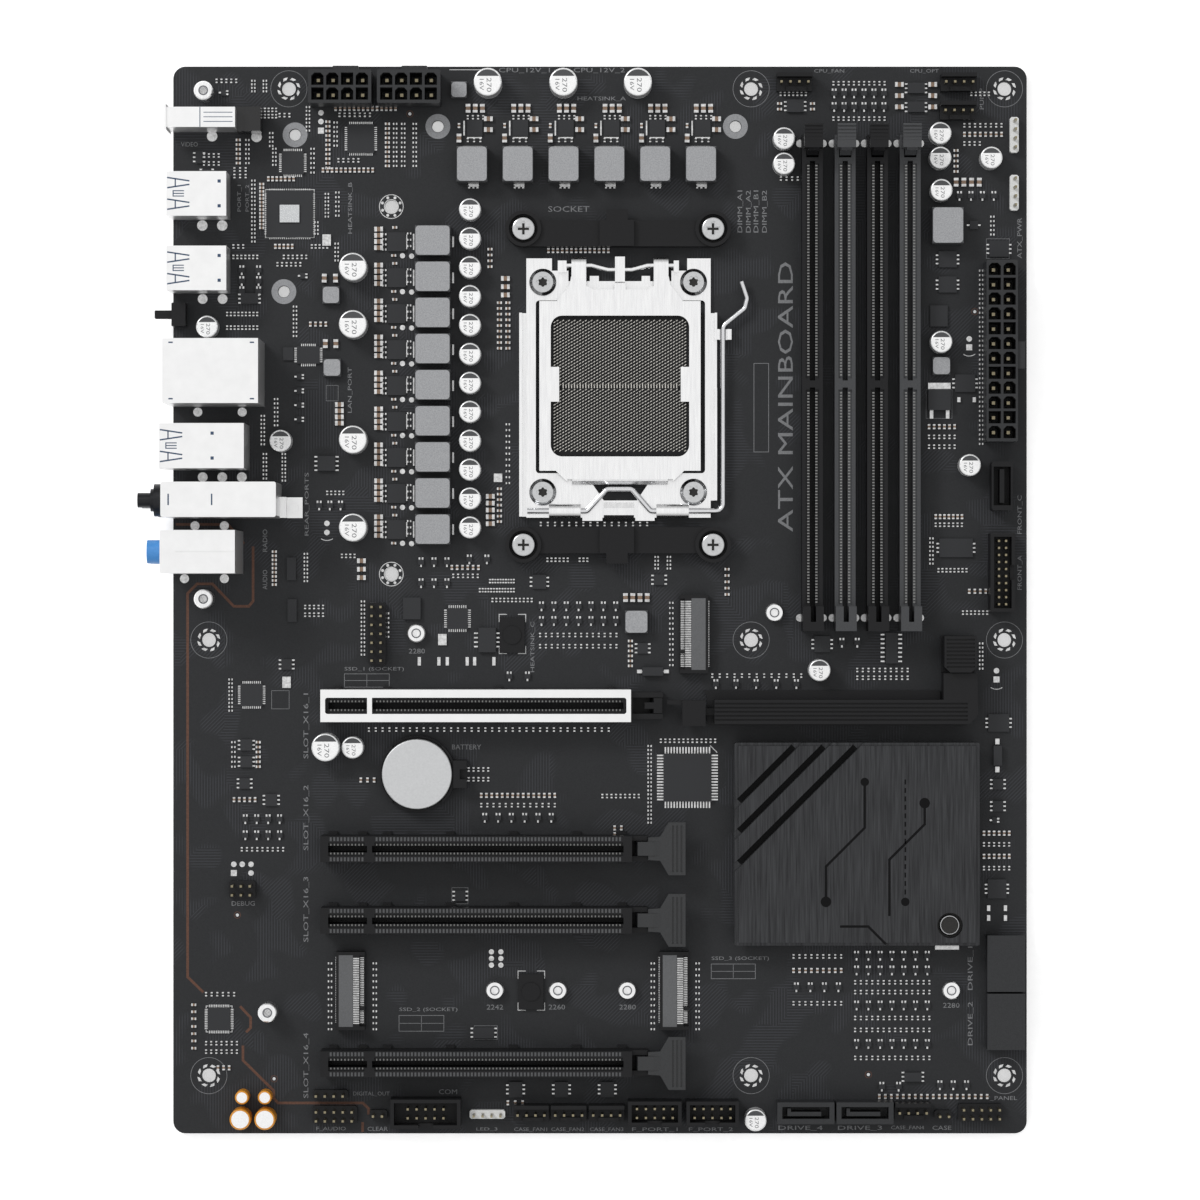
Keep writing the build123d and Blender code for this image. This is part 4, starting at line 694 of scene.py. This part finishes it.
# Gull-wing legs stand out of the two long sides of the short ones, on a pitch of 1.2 mm
LEG_PITCH = 1.2
tinned = [(u + side * (a / 2 + 0.35), v + step * LEG_PITCH, 0, 0.8, 0.42, 0.2)
          for u, v, a, b, h in SMALL_CHIPS if b < 5.7 for side in (-1, 1)
          for step in (-1, 0, 1) if abs(step * LEG_PITCH) < b / 2]
# The power transistor's tab, the crystals' cans and the two-ended fuses are bright tinned metal
tinned += [
    (218.8, 91.3, 0, 6.4, 1.8, 1.2), (216.6, 99.3, 90, 2.6, 1, 0.8), (221.2, 99.3, 90, 2.6, 1, 0.8),
    (224.4, 95.2, 0, 0.9, 1.4, 0.9), (228.8, 95.2, 0, 0.9, 1.4, 0.9), (221, 251.6, 0, 6.8, 1.2, 1),
    (43.85, 49.6, 90, 3.2, 2.4, 0.7), (32.4, 175.9, 90, 3.2, 2.4, 0.7), (76.9, 163.7, 90, 3.2, 2.4, 0.7),
    (92.8, 117.5, 90, 2.4, 2.4, 0.7), (133.2, 172.8, 0, 1.4, 1, 0.8), (140.9, 172.8, 0, 1.4, 1, 0.8),
    (235.4, 192.8, 90, 1.6, 1.2, 0.8), (235.4, 200.8, 90, 1.6, 1.2, 0.8), (232.9, 240.4, 0, 0.9, 1.6, 0.8),
    (237.7, 240.4, 0, 0.9, 1.6, 0.8), (232.9, 243.2, 0, 0.9, 1.6, 0.8), (237.7, 243.2, 0, 0.9, 1.6, 0.8),
]
# Beside each choke of the two rows: a bright bar above it and a folded bracket below it
for column in range(6):
    u = CHOKE_U + STAGE_PITCH_U * column
    tinned += [(u, 22.9, 0, 5.6, 0.35, 0.4), (u + 0.4, 33.9, 0, 2.8, 0.9, 0.4),
               (u - 2.4, 17.6, 0, 0.4, 4.2, 0.2), (u + 0.6, 20.3, 0, 4.2, 0.35, 0.2)]
for row in range(9):
    v = CHOKE_V + STAGE_PITCH_V * row
    tinned += [(79.95, v, 0, 0.5, 3.0, 0.4), (68.7, v, 0, 0.4, 4.6, 0.4), (66.7, v, 0, 0.3, 4.2, 0.2)]
scatter("bright_tinned_parts", box_part, on_board(tinned), solder)
# Test pads, the tinned domes by the power stages, and the domes and bars by two more chips
ROUND_PADS = [(42.2, 13.2), (42.2, 15.7), (43.9, 130.5), (43.9, 133.1), (227.4, 77.8), (235.2, 172.6),
              (17.3, 227.9), (19.7, 227.9), (22.2, 227.9), (22.2, 230.4)]
SQUARE_PADS = [(42.2, 18.3), (227.4, 80.2), (235.2, 175.1), (17.3, 230.4)]
pads = bmesh.new()
for row in range(9):
    for u, v in ((65.5, 3.95), (68.1, 4.05)):
        add_slab(pads, circle(u, CHOKE_V + STAGE_PITCH_V * row + v, 0.75, 14), *film(BOARD_TOP, 0.25))
for u, v in ROUND_PADS:
    add_slab(pads, circle(u, v, 0.8, 14), *SOLDER)
for u, v in SQUARE_PADS:
    add_block(pads, u, v, 1.7, 1.7, *SOLDER)
for i in range(3):
    for u in (90.9, 93.6):
        add_slab(pads, circle(u, 252.9 + 1.9 * i, 0.75, 14), *film(BOARD_TOP, 0.3))
for u in (70.3, 75.9, 78.3, 84.0, 86.1, 91.6):
    add_block(pads, u, 169.9, 0.9, 2.4, *film(BOARD_TOP, 0.3))
place_piece("test_pads", pads, solder)
dress(epoxy, "chips")
# The hub chip is a bare die on its carrier: lapped silicon, a pale mirror for the ceiling
silicon = grained("silicon_die_lapped", "#bfc1c3", "#cfd1d2", 0.25, 0.4, 0.001, metallic=0.3)
die = bmesh.new()
add_slab(die, box_line(30.5, 36.1, 39.6, 44.6)[:4], 3.08, 3.12)
place_piece("hub_die", die, silicon)


# ---- Processor socket, load plate, lever and cooler brackets ----
# A nylon socket with gold spring contacts, clamped by a stamped stainless frame and plate that
# four screws hold to a steel backplate; the lever is bent from polished wire.

# Rolled stainless: bright, with lengthwise rolling lines drawn coarser than the real ones
stainless = grained("stainless_stamped", "#ebebec", "#f9f9f9", 0.26, 0.5, 0.002, metallic=1.0,
                    stretch=(1, 0.06, 1), spread=0.04)
# Drawn and polished wire: a smoother shine
wire = grained("steel_wire_polished", "#cfd0d2", "#e8e8ea", 0.16, 0.3, 0.002, metallic=1.0, spread=0.03)
# Nylon dyed through and moulded: satin black
black_nylon = grained("nylon_black_moulded", "#141415", "#1c1c1e", 0.4, 0.18, 0.006, specular=0.2)
# Black zinc plate: dark and glossy
black_zinc = grained("steel_black_zinc", "#17171a", "#26272a", 0.34, 0.25, 0.004, metallic=0.6)
# Cold-rolled steel under black electro-coat
coated_steel = grained("steel_black_coated", "#191a1b", "#242526", 0.5, 0.3, 0.005)
dress(coated_steel, "socket_backplate")
dress(black_nylon, "socket_body", "cooler_bracket_top", "cooler_bracket_bottom")
dress(stainless, "socket_frame", "load_plate")
dress(wire, "load_lever")
# Nickel-plated screw heads: bright, with fine concentric wear
nickel = grained("screw_nickel_plated", "#c2c3c4", "#cfd0d1", 0.2, 0.6, 0.001, metallic=1.0, spread=0.03)
dress(nickel, "socket_screws", "cross_head_screws")
# Painted shade: a dark steel laid at the bottom of the drive recesses, where shade falls
painted_recess_shade = grained("steel_painted_recess_shade", "#1b1a19", "#2a2927", 0.4, 0.3, 0.002, metallic=0.4)
SOCKET_U, SOCKET_V = 127.1, 91.7
# Half the spacing of the socket's screws and of the brackets' screws, along u and v
SOCKET_SCREWS, BRACKET_SCREWS = (21.5, 29.95), (27, 45)
STAR_POINT, STAR_VALLEY, CROSS_LENGTH, CROSS_WIDTH = 1.55, 1.05, 3.2, 0.7
HEATSINK_SCREW = (221.2, 244.7)
SOCKET_RECESS, BRACKET_RECESS = 3.7, 6.2  # heights of the floors
recesses = bmesh.new()
for side_u in (-1, 1):
    for side_v in (-1, 1):
        u, v = SOCKET_U + side_u * SOCKET_SCREWS[0], SOCKET_V + side_v * SOCKET_SCREWS[1]
        star = [(u + r * math.cos(math.radians(a)), v + r * math.sin(math.radians(a)))
                for a, r in ((30 * i, STAR_POINT if i % 2 else STAR_VALLEY) for i in range(12))]
        add_slab(recesses, star, SOCKET_RECESS, SOCKET_RECESS + 0.06)
        u, v = SOCKET_U + side_u * BRACKET_SCREWS[0], SOCKET_V + side_v * BRACKET_SCREWS[1]
        add_block(recesses, u, v, CROSS_LENGTH, CROSS_WIDTH, BRACKET_RECESS, BRACKET_RECESS + 0.06)
        add_block(recesses, u, v, CROSS_WIDTH, CROSS_LENGTH, BRACKET_RECESS, BRACKET_RECESS + 0.07)
# Painted shade round the heatsink's screw, down in its recess, and on the screw's head
add_ring(recesses, *HEATSINK_SCREW, 3.0, 3.55, 9.0, 9.05)
add_slab(recesses, circle(*HEATSINK_SCREW, 2.5, 28), 10.55, 10.62)
place_piece("screw_recess_floors", recesses, painted_recess_shade)
# Gold flash over nickel on the spring tips: pale and sparkling. The real pitch is drawn
contact_gold = grained("contact_gold_flash", "#c0bdb6", "#e6e3dc", 0.3, 0.2, 0.003, metallic=1.0)
PITCH_U, PITCH_V, CONTACT_U, CONTACT_Z = 0.81, 0.94, 127.6, 3.78
contacts = [(CONTACT_U + PITCH_U * i, 91.5 + PITCH_V * j + (PITCH_V / 2 if i % 2 else 0), CONTACT_Z,
             35, 0.6, 0.2, 0.35) for i in range(-23, 24) for j in range(-20, 20) if j]
# The two halves face each other across a row of upright contacts
contacts += [(CONTACT_U + PITCH_U * i, 91.4, CONTACT_Z, 90, 1.2, 0.24, 0.35) for i in range(-20, 21)]
scatter("socket_contacts", box_part, contacts, contact_gold)


# ---- Memory slots ----
# Four moulded slots with a latch at the upper end; black and grey ones mark the two channels.
# Each has two rows of contacts on a 0.85 mm pitch beside its groove.

# The same nylon dyed grey, satin
grey_nylon = grained("nylon_grey_moulded", "#3a3b3d", "#47484a", 0.42, 0.18, 0.006, specular=0.25)
dress(black_nylon, "memory_slot_1", "memory_slot_3", "memory_latch_1", "memory_latch_3")
dress(grey_nylon, "memory_slot_2", "memory_slot_4", "memory_latch_2", "memory_latch_4")
MEMORY_SLOTS = (182.3, 191.6, 200.8, 210.1)
KEY_V, KEY_HALF = 91, 1.9  # no contacts where the module's notch sits on its key
CONTACT_ROW, GROOVE_FLOOR = [28.9 + 0.85 * i for i in range(147)], 8.28
places = [(u + side * 1.15, v, GROOVE_FLOOR, 0, 0.62, 0.36, 0.12)
          for u in MEMORY_SLOTS for side in (-1, 1) for v in CONTACT_ROW if abs(v - KEY_V) > KEY_HALF]
# Springs seen down in the groove: grey metal that catches a little light
dull_contact = grained("contact_phosphor_bronze", "#767675", "#989896", 0.35, 0.2, 0.003, metallic=1.0)
scatter("memory_contacts", box_part, places, dull_contact)
# Tinned board locks stand beside both ends of a slot
SLOT_ENDS, LOCK_OFFSET, LOCK_RADIUS = (22.0, 157.5), 3.3, 1.1
locks = bmesh.new()
for u in MEMORY_SLOTS:
    for side in (-1, 1):
        for v in SLOT_ENDS:
            add_slab(locks, circle(u + side * LOCK_OFFSET, v, LOCK_RADIUS, 12), BOARD_TOP, BOARD_TOP + 0.4)
place_piece("memory_slot_locks", locks, solder)


# ---- Expansion slots, the shielded graphics slot and its release ----
# Moulded slots with contacts on a 1 mm pitch; the graphics slot has a folded steel shield, and
# a button near the edge pushes a rod that tips its latch.

# Tin plate: almost white and smooth, with a slow uneven sheen
bright_shell = grained("shell_tin_plated", "#efefef", "#f4f4f4", 0.3, 4.0, 0.0001, metallic=0.85, spread=0.02)
dress(black_nylon, "graphics_slot", "graphics_slot_latch", "release_button", "release_rod", "release_cover",
      "expansion_slot_2", "expansion_slot_3", "expansion_slot_4")
# The paddles are rubbed by fingers: a little greyer and shinier than the slots
paddle_nylon = grained("nylon_black_rubbed", "#242526", "#313234", 0.36, 0.3, 0.01, specular=0.4)
dress(paddle_nylon, "expansion_latch_2", "expansion_latch_3", "expansion_latch_4")
dress(bright_shell, "graphics_slot_shield")
GRAPHICS_V, SLOT_KEY_U = 182.4, 56.6
# (v, height of the contacts) of the three open slots and the graphics slot
SLOTS = [(223.04, 12.03), (243.36, 12.03), (284.0, 12.03), (GRAPHICS_V, 11.38)]
CONTACT_PITCH, SLOT_CONTACTS, FIRST_CONTACT_U, SLOT_TOP = 1, 83, 45.6, 12.83
cells, tips = [], []
for v, z in SLOTS:
    for i in range(SLOT_CONTACTS):
        u = FIRST_CONTACT_U + CONTACT_PITCH * i
        if abs(u - SLOT_KEY_U) < 1.2 or (v == GRAPHICS_V and u > 128.5):
            continue
        for side in (-1, 1):
            tips.append((u, v + side * 1.25, z, 0, 0.34, 0.5, 0.1))
            if v != GRAPHICS_V:
                cells.append((u, v + side * 2.85, SLOT_TOP, 0, 0.55, 1.1, 0.04))
# Contacts deep in a black slot: dim grey metal
shaded_contact = grained("contact_bronze_shaded", "#6a6a69", "#8a8a88", 0.4, 0.2, 0.003, metallic=1.0)
scatter("expansion_contacts", box_part, tips, shaded_contact)
# Painted highlight: the edges of the contact cells catch the light, drawn as pale nylon
cell_edge_highlight = grained("nylon_cell_edge_painted_highlight", "#3c3d3f", "#4d4e50", 0.4, 0.2, 0.004)
scatter("expansion_slot_cells", box_part, cells, cell_edge_highlight)


# ---- Chipset and its heatsink ----
# A bare die on a laminate carrier under a soft pad; the heatsink is extruded aluminium, brushed
# and anodised black, with three cut grooves and one screw.

# Black anodising over a brushed face: a dark sheen in long scratches, coarser than the real ones
brushed = grained("aluminium_black_brushed", "#252527", "#404143", 0.34, 0.5, 0.006, metallic=0.7,
                  stretch=(1, 0.03, 1))
# Filled silicone: matt grey putty
pad_silicone = grained("silicone_pad_grey", "#8f9193", "#a5a7a9", 0.7, 0.4, 0.01)
dress(epoxy, "chipset")
dress(pad_silicone, "thermal_pad")
dress(black_nylon, "support_pads")
dress(brushed, "chipset_heatsink")
ETCH_LOW, ETCH_HIGH, ETCH_WIDTH = 11.99, 12.03, 0.7
ETCHED_LINES = [[(186, 238), (186, 228), (197, 217), (197, 204)],
                [(204, 242), (204, 226), (214, 216), (214, 210)], [(190, 245), (198, 245), (203, 250)]]
etched_and_shaded = bmesh.new()
for line in ETCHED_LINES:
    add_line(etched_and_shaded, line, ETCH_WIDTH, ETCH_LOW, ETCH_HIGH)
for i in range(14):
    add_block(etched_and_shaded, 208.5, 204 + 2.4 * i, 0.45, 1.4, ETCH_LOW, ETCH_HIGH)
for u, v, radius in ((186, 238, 1.5), (197, 204, 1.2), (214, 210, 1.5), (208.5, 238, 1.2)):
    add_slab(etched_and_shaded, circle(u, v, radius, 20), ETCH_LOW, ETCH_HIGH + 0.01)
# Painted shade on the floors of the three cut grooves, by how far each runs from the block's corner
for reach in (15.9, 24.4, 33.4):
    add_line(etched_and_shaded, [(161.4, 193.6 + reach), (161.0 + reach, 194.0)], 1.7, 9.8, 9.86)
# Burnt anodising: a flat black that takes no shine. The same black is the painted shade on the groove floors
etch_and_groove_shade = grained("anodising_laser_etched_and_groove_shade", "#080809", "#0e0e0f", 0.5, 0.2, 0.004, specular=0.1)
place_piece("heatsink_etched_lines", etched_and_shaded, etch_and_groove_shade)


# ---- Rear ports ----
# Folded and tin-plated steel shells round moulded tongues, with slots where the folds lock and
# the spring fingers are cut, and a radio cage of the same plate with two black threaded posts.

# Polished black nylon: glossy
port_glass = grained("nylon_port_block_gloss", "#101011", "#1a1a1b", 0.2, 0.4, 0.003)
# Dyed nylon bezels: a clear blue, satin
blue = grained("nylon_blue_moulded", "#2f76bb", "#4a92d2", 0.4, 0.2, 0.005)
dress(bright_shell, "display_port", "port_stack_1", "port_stack_2", "port_stack_3", "network_port",
      "wireless_cage", "audio_jacks")
dress(black_zinc, "antenna_posts")
dress(black_nylon, "update_switch", "update_plunger")
dress(blue, "audio_bezels")
FINGER_OFFSET = 3.05
gaps = bmesh.new()
# (u, v, top) of each shell with two spring fingers
for u, v, top in ((-0.7, 37.5, 17.0), (-0.7, 58.55, 17.0), (-2.1, 109.0, 24.4)):
    skin = film(top, 0.02)
    for side in (-1, 1):
        finger = v + side * FINGER_OFFSET
        for lean in (-1, 1):
            add_line(gaps, [(u + 0.3, finger + lean * 1.45), (u + 6.6, finger + lean * 0.5)], 0.4, *skin)
        add_block(gaps, u + 2.6, finger, 0.35, 2.1, *skin)
    add_block(gaps, u + 2.0, v, 0.3, 1.8, *skin)
    for side in (-1, 0, 1):
        add_block(gaps, u + 3.6, v + side * 0.75, 2.9, 0.28, *skin)
    for side in (-1, 1):
        add_block(gaps, u + 15.0, v + side * 3.5, 0.9, 0.9, *skin)
# Seams of the display port, the network port and the tallest stack
skin = film(17.4, 0.02)
for v in (14.6, 15.9, 17.2):
    add_block(gaps, 14.0, v, 8.2, 0.2, *skin)
add_block(gaps, 8.9, 15.9, 0.25, 5.6, *skin)
for u in (1.6, 24.4):
    for side in (-1, 1):
        add_block(gaps, u, 88.1 + side * 7.9, 1.2, 0.4, *film(28.8, 0.02))
for u in (0.8, 13.0):
    add_block(gaps, u, 124.2, 0.4, 3.2, *film(27.4, 0.02))
# The blue tongues behind the slots show through them in painted shade, as a dark blue
shadow_gap = grained("shell_gap_blue_tongue_painted_shade", "#1d3149", "#2c4a6c", 0.45, 0.3, 0.003)
place_piece("port_shell_slots", gaps, shadow_gap)
# The display port's moulded rear block, polished black
rear_block = bmesh.new()
add_block(rear_block, 22.2, 15.9, 6.9, 6.9, BOARD_TOP, 11.65)
add_block(rear_block, 23.4, 15.9, 4.4, 6.9, 11.6, 12.3)
place_piece("display_port_rear_block", rear_block, port_glass)
# Soldered shell legs in plated slots beside the ports
LUGS = [
    (11.1, 19.9, 1.5), (23.8, 20.1, 1.5), (8.3, 45.4, 1.5), (14, 45.4, 1.5), (8.4, 66.4, 1.4),
    (14.1, 66.4, 1.4), (7, 98.7, 1.3), (19.7, 98.7, 1.3), (8.4, 117.3, 1.4), (14, 117.3, 1.4),
    (19.6, 117.3, 1.4), (6.2, 131.2, 1.3), (14.6, 131.2, 1.3), (3.2, 146.3, 1.3), (14.6, 146.3, 1.3),
]
lugs = bmesh.new()
for u, v, radius in LUGS:
    add_slab(lugs, circle(u, v, radius, 20), *film(BOARD_TOP, 0.15))
    add_slab(lugs, circle(u, v, radius * 0.55, 14), BOARD_TOP, BOARD_TOP + 0.5)
place_piece("shell_solder_lugs", lugs, solder)


# ---- Power parts: headers, chokes and capacitors ----
# Moulded headers with square pins; chokes pressed from iron powder; aluminium cans without a
# sleeve, whose white tops carry a printed segment over the negative lead.

# Pressed iron powder: mid grey, matt, with a fine crystalline grain
ferrite = grained("iron_powder_pressed", "#86878a", "#a9aaac", 0.55, 0.3, 0.012, metallic=0.2)
# Drawn aluminium: bright and soft, faintly streaked
can = grained("aluminium_can_drawn", "#d9dadb", "#f3f3f3", 0.3, 0.5, 0.004, metallic=0.6)
# Lacquered sleeve of the sound capacitors: a warm gold, satin
gold_sleeve = grained("capacitor_sleeve_gold", "#c07c14", "#dc9428", 0.35, 0.4, 0.004)
# Thin gold on square brass pins: a dull straw colour in the shade of the headers
pin_gold = grained("header_pin_gold", "#7d7560", "#a39a80", 0.3, 0.3, 0.002, metallic=1.0)
# Glass-filled nylon shows its fibres: a greyer black than the slots
filled_nylon = grained("nylon_glass_filled_black", "#232426", "#303133", 0.42, 0.3, 0.008, specular=0.3)
dress(filled_nylon, "power_headers", "drive_ports")
dress(pin_gold, "header_pins")
# The pressed block is darker round its sides than on its top face
dark_sided_iron = grained("iron_powder_dark_sides", "#4a4b4d", "#5e5f61", 0.45, 0.3, 0.01, metallic=0.3)
dress(dark_sided_iron, "chokes")


def rounded(u, v, size_u, size_v, radius):
    """The outline of a box with round corners."""
    points = []
    for start, side_u, side_v in ((0, 1, 1), (90, -1, 1), (180, -1, -1), (270, 1, -1)):
        points += circle(u + side_u * (size_u / 2 - radius), v + side_v * (size_v / 2 - radius), radius, 5,
                         start, start + 90)
    return points


# (u, v, size along u, size along v, height of the top)
CHOKES = [(CHOKE_U + STAGE_PITCH_U * i, 28.35, 8.7, 10.0, 8.6) for i in range(6)]
CHOKES += [(74.3, CHOKE_V + STAGE_PITCH_V * i, 10.0, 8.6, 8.6) for i in range(9)]
CHOKES += [(220.9, 45.8, 8.8, 10.3, 8.6)]
CHOKES += [(u, v, size, size, 1.6 + 0.6 * size) for u, v, size in (
    (45.2, 65.4, 4.9), (45.5, 86.1, 5.0), (132.3, 158.6, 6.5), (219.3, 85.6, 5.1), (81.7, 6.8, 4.6))]
faces = bmesh.new()
for u, v, size_u, size_v, top in CHOKES:
    add_slab(faces, rounded(u, v, size_u - 0.3, size_v - 0.3, 1.0), *film(top, 0.05))
place_piece("choke_top_faces", faces, ferrite)
dress(can, "polymer_capacitors")
dress(gold_sleeve, "audio_capacitors")
# (radius, height of the top) of the two sizes of can
BIG_CAN, SMALL_CAN = (4.0, 9.8), (3.15, 7.6)
CANS = [(u, v, *BIG_CAN) for u, v in (
    (90, 5.2), (111.5, 5.2), (132.7, 5.2), (51.7, 57.7), (51.7, 74), (51.7, 106.8), (51.7, 131.8),
    (43.9, 194.3))]
CANS += [(84.9, 41.2 + 8.23 * k, *SMALL_CAN) for k in range(12)]
CANS += [(u, v, *SMALL_CAN) for u, v in (
    (10.1, 74.6), (31, 107.1), (51.5, 194.4), (174.3, 21), (174.3, 28.2), (218.8, 19.5), (218.8, 26.5),
    (233.3, 26.5), (219.1, 35.7), (219.1, 78.9), (227.2, 114), (184.4, 172.4), (166.2, 300.4))]
SOUND_CANS = [(20, 294, 2.0, 7.4), (26.5, 294, 2.0, 7.4), (19.6, 300.1, 3.0, 8.8), (26.6, 300.1, 3.0, 8.8)]
tops, segments = bmesh.new(), bmesh.new()
for u, v, radius, top in CANS:
    inner = radius - 0.45
    add_slab(tops, circle(u, v, inner, 28), *film(top, 0.02))
    add_slab(segments, circle(u, v, inner, 14, 208, 332), top, top + 0.04)
for u, v, radius, top in SOUND_CANS:
    add_slab(tops, circle(u, v, radius - 0.5, 28), *film(top, 0.02))
# White lacquer on the can tops, and the dark ink of the polarity mark
lacquer = grained("lacquer_white", "#e9e9e9", "#fbfbfb", 0.4, 0.3, 0.003)
dark_ink = grained("ink_dark_grey", "#38393b", "#4a4b4d", 0.6, 0.2, 0.003)
place_piece("can_top_lacquer", tops, lacquer)
# Plain ratings, printed sideways below the segment
ratings = bmesh.new()
for u, v, radius, top in CANS:
    # (words, u, v, height, length) as shares of the can's radius
    for words, u_off, v_off, height, length in (("16V", -0.42, 0.2, 0.3, 0.8), ("270", 0.1, 0.22, 0.34, 1.0)):
        add_words(ratings, words, u + radius * u_off, v + radius * v_off, radius * height, radius * length,
                  -90, top, top + 0.04)
bmesh.ops.remove_doubles(ratings, verts=ratings.verts, dist=1e-7)
place_piece("can_ratings", ratings, ink)
place_piece("can_polarity_marks", segments, dark_ink)


# ---- Cell, drive sockets, headers and spacers ----
# A stainless coin cell under a spring clip, drive sockets with 0.5 mm contacts, and plain
# moulded headers with square pins.

# Burnished stainless: soft grey, hardly grained
cell_steel = grained("cell_steel_burnished", "#c3c4c5", "#cdcecf", 0.42, 0.5, 0.002, metallic=0.8)
dress(cell_steel, "coin_cell")
dress(stainless, "standoffs")
# A turned groove rings the thread of each spacer
GROOVE_INNER, GROOVE_OUTER = 1.05, 1.4
# Spacers by the height of their tops: under the drives, and under the port cover
SPACERS = {4.2: [(69.5, 161.9), (91.9, 263.8), (109.9, 263.8), (129.7, 263.8), (222.2, 263.8), (171.7, 156)],
           9.6: [(9.2, 7.6), (9.2, 152.1), (27.4, 269.7)]}
grooves = bmesh.new()
for top, places in SPACERS.items():
    for u, v in places:
        add_ring(grooves, u, v, GROOVE_INNER, GROOVE_OUTER, *film(top, 0.03), 24)
# A groove in the shade of its thread: dull grey
shaded_steel = grained("steel_groove_shaded", "#55565a", "#6a6b6f", 0.5, 0.3, 0.002)
place_piece("spacer_grooves", grooves, shaded_steel)
# Undyed nylon: a milky white
white_nylon = grained("nylon_white_moulded", "#cfd0d0", "#e4e4e3", 0.45, 0.2, 0.005)
dress(white_nylon, "light_headers")
dress(black_nylon, "cell_holder", "drive_sockets", "pin_headers", "boxed_headers", "front_port_header")
# (u, v, side that the drive plugs into), with 38 contacts on a 0.5 mm pitch
DRIVE_SOCKETS = [(50.8, 263.8, 1), (143.1, 263.8, 1), (148.7, 162.1, -1)]
SOCKET_TOP, TONGUE_TOP, BAR_WIDTH = 5.78, 3.39, 0.26
caps, bars = bmesh.new(), []
for u, v, side in DRIVE_SOCKETS:
    add_block(caps, u - side * 1.3, v, 4.0, 20.4, SOCKET_TOP + 0.01, SOCKET_TOP + 0.06)
    for i in range(38):
        y = v - 9.3 + 0.5 * i
        bars += [(u + side * 1.65, y, SOCKET_TOP, 0, 1.7, BAR_WIDTH, 0.1),
                 (u + side * 3.2, y, TONGUE_TOP, 0, 1.1, BAR_WIDTH, 0.12),
                 (u - side * 4.0, y, BOARD_TOP, 0, 0.9, BAR_WIDTH, 0.2)]
# The strip that the pick-up nozzle holds is smooth and greyer
nozzle_strip = grained("nylon_grey_pickup_strip", "#4f5052", "#5c5d5f", 0.4, 0.3, 0.003)
place_piece("drive_socket_strips", caps, nozzle_strip)
scatter("drive_socket_contacts", box_part, bars, solder)
# (u, v, half length, half width, legs to a side, pitch) of the chips with legs on four sides
LEGGED_CHIPS = [
    (13.1, 272.1, 3.7, 3.7, 12, 0.5), (22.4, 179.5, 3.5, 3.5, 10, 0.55), (81.2, 157.7, 3.4, 3.4, 9, 0.6),
    (53.6, 20.6, 4.2, 4.4, 12, 0.58), (34.15, 27.5, 3.5, 3.6, 10, 0.55), (38.6, 82.4, 3.6, 2.8, 8, 0.55),
    (33.3, 42.1, 6.8, 6.8, 20, 0.6),
]
legs = []
for u, v, half_u, half_v, count, pitch in LEGGED_CHIPS:
    for i in range(count):
        step = pitch * (i - (count - 1) / 2)
        for side in (-1, 1):
            legs += [(u + side * half_u, v + step, 0, 0.8, 0.28, 0.12),
                     (u + step, v + side * half_v, 90, 0.8, 0.28, 0.12)]
# The board controller has sixteen wide gull-wing legs to a side
for i in range(16):
    step = 0.84 * (i - 7.5)
    for side in (-1, 1):
        legs += [(146.9 + side * 7.75, 203.1 + step, 0, 1.9, 0.42, 0.3),
                 (146.9 + step, 203.1 + side * 7.75, 90, 1.9, 0.42, 0.3)]
# Small chips with legs on two sides only, on a pitch of 1.27 mm
for u, v, half, count in ((89.7, 163.8, 3.2, 4), (43.8, 113.4, 2.9, 4), (205.15, 166.1, 2.5, 7)):
    for i in range(count):
        for side in (-1, 1):
            legs.append((u + side * half, v + 1.27 * (i - (count - 1) / 2), 0, 1.1, 0.42, 0.2))
scatter("chip_legs", box_part, on_board(legs), solder)


# ---- Floor, light and camera ----
# A plain pale floor, a bright soft ceiling that darkens towards the horizon, and a soft key from
# the upper left.
FLOOR_HALF, FLOOR_GAP, FLOOR_GLOW = 3, 0.0005, 0.45
floor_mesh = bpy.data.meshes.new("floor")
floor_mesh.from_pydata([(x * FLOOR_HALF, y * FLOOR_HALF, cad_low[2] - FLOOR_GAP)
                        for x, y in ((-1, -1), (1, -1), (1, 1), (-1, 1))], [], [(0, 1, 2, 3)])
floor = bpy.data.objects.new("floor", floor_mesh)
# Backlit paper: white and even, so that the board's holes read white
paper = grained("paper_white_backlit", "#f4f4f4", "#fbfbfb", 0.9, 2.0, 0.01)
paper_shader = paper.node_tree.nodes["Principled BSDF"]
paper_shader.inputs["Emission Color"].default_value = (1, 1, 1, 1)
paper_shader.inputs["Emission Strength"].default_value = FLOOR_GLOW
floor_mesh.materials.append(paper)
IN_SCENE.link(floor)

world = bpy.data.worlds.new("studio")
world.use_nodes = True
sky = world.node_tree
direction = add(sky, "ShaderNodeTexCoord").outputs["Generated"]
upward = add(sky, "ShaderNodeSeparateXYZ", sockets={"Vector": direction}).outputs["Z"]
ceiling = ramp(sky, upward, [(0.0, 0.4), (0.45, 0.5), (0.85, 0.95)])
sky.links.new(ceiling, sky.nodes["Background"].inputs["Color"])
bpy.context.scene.world = world
light = bpy.data.lights.new("key", "AREA")
light.energy, light.size = 14, 0.5
lamp = bpy.data.objects.new("key", light)
lamp.location = (-0.9, 1.1, 1.3)
lamp.rotation_euler = (lamp.location - Vector((0.11, 0.14, 0))).to_track_quat("Z", "Y").to_euler()
IN_SCENE.link(lamp)

lens = bpy.data.cameras.new("camera")
lens.lens, lens.sensor_width = 147, 36  # a long lens, so that tall parts hardly lean
camera = bpy.data.objects.new("camera", lens)
camera.location = (0.11176, 0.13589, 1.4016)
IN_SCENE.link(camera)
bpy.context.scene.camera = camera
bpy.context.scene.view_settings.view_transform = "Standard"
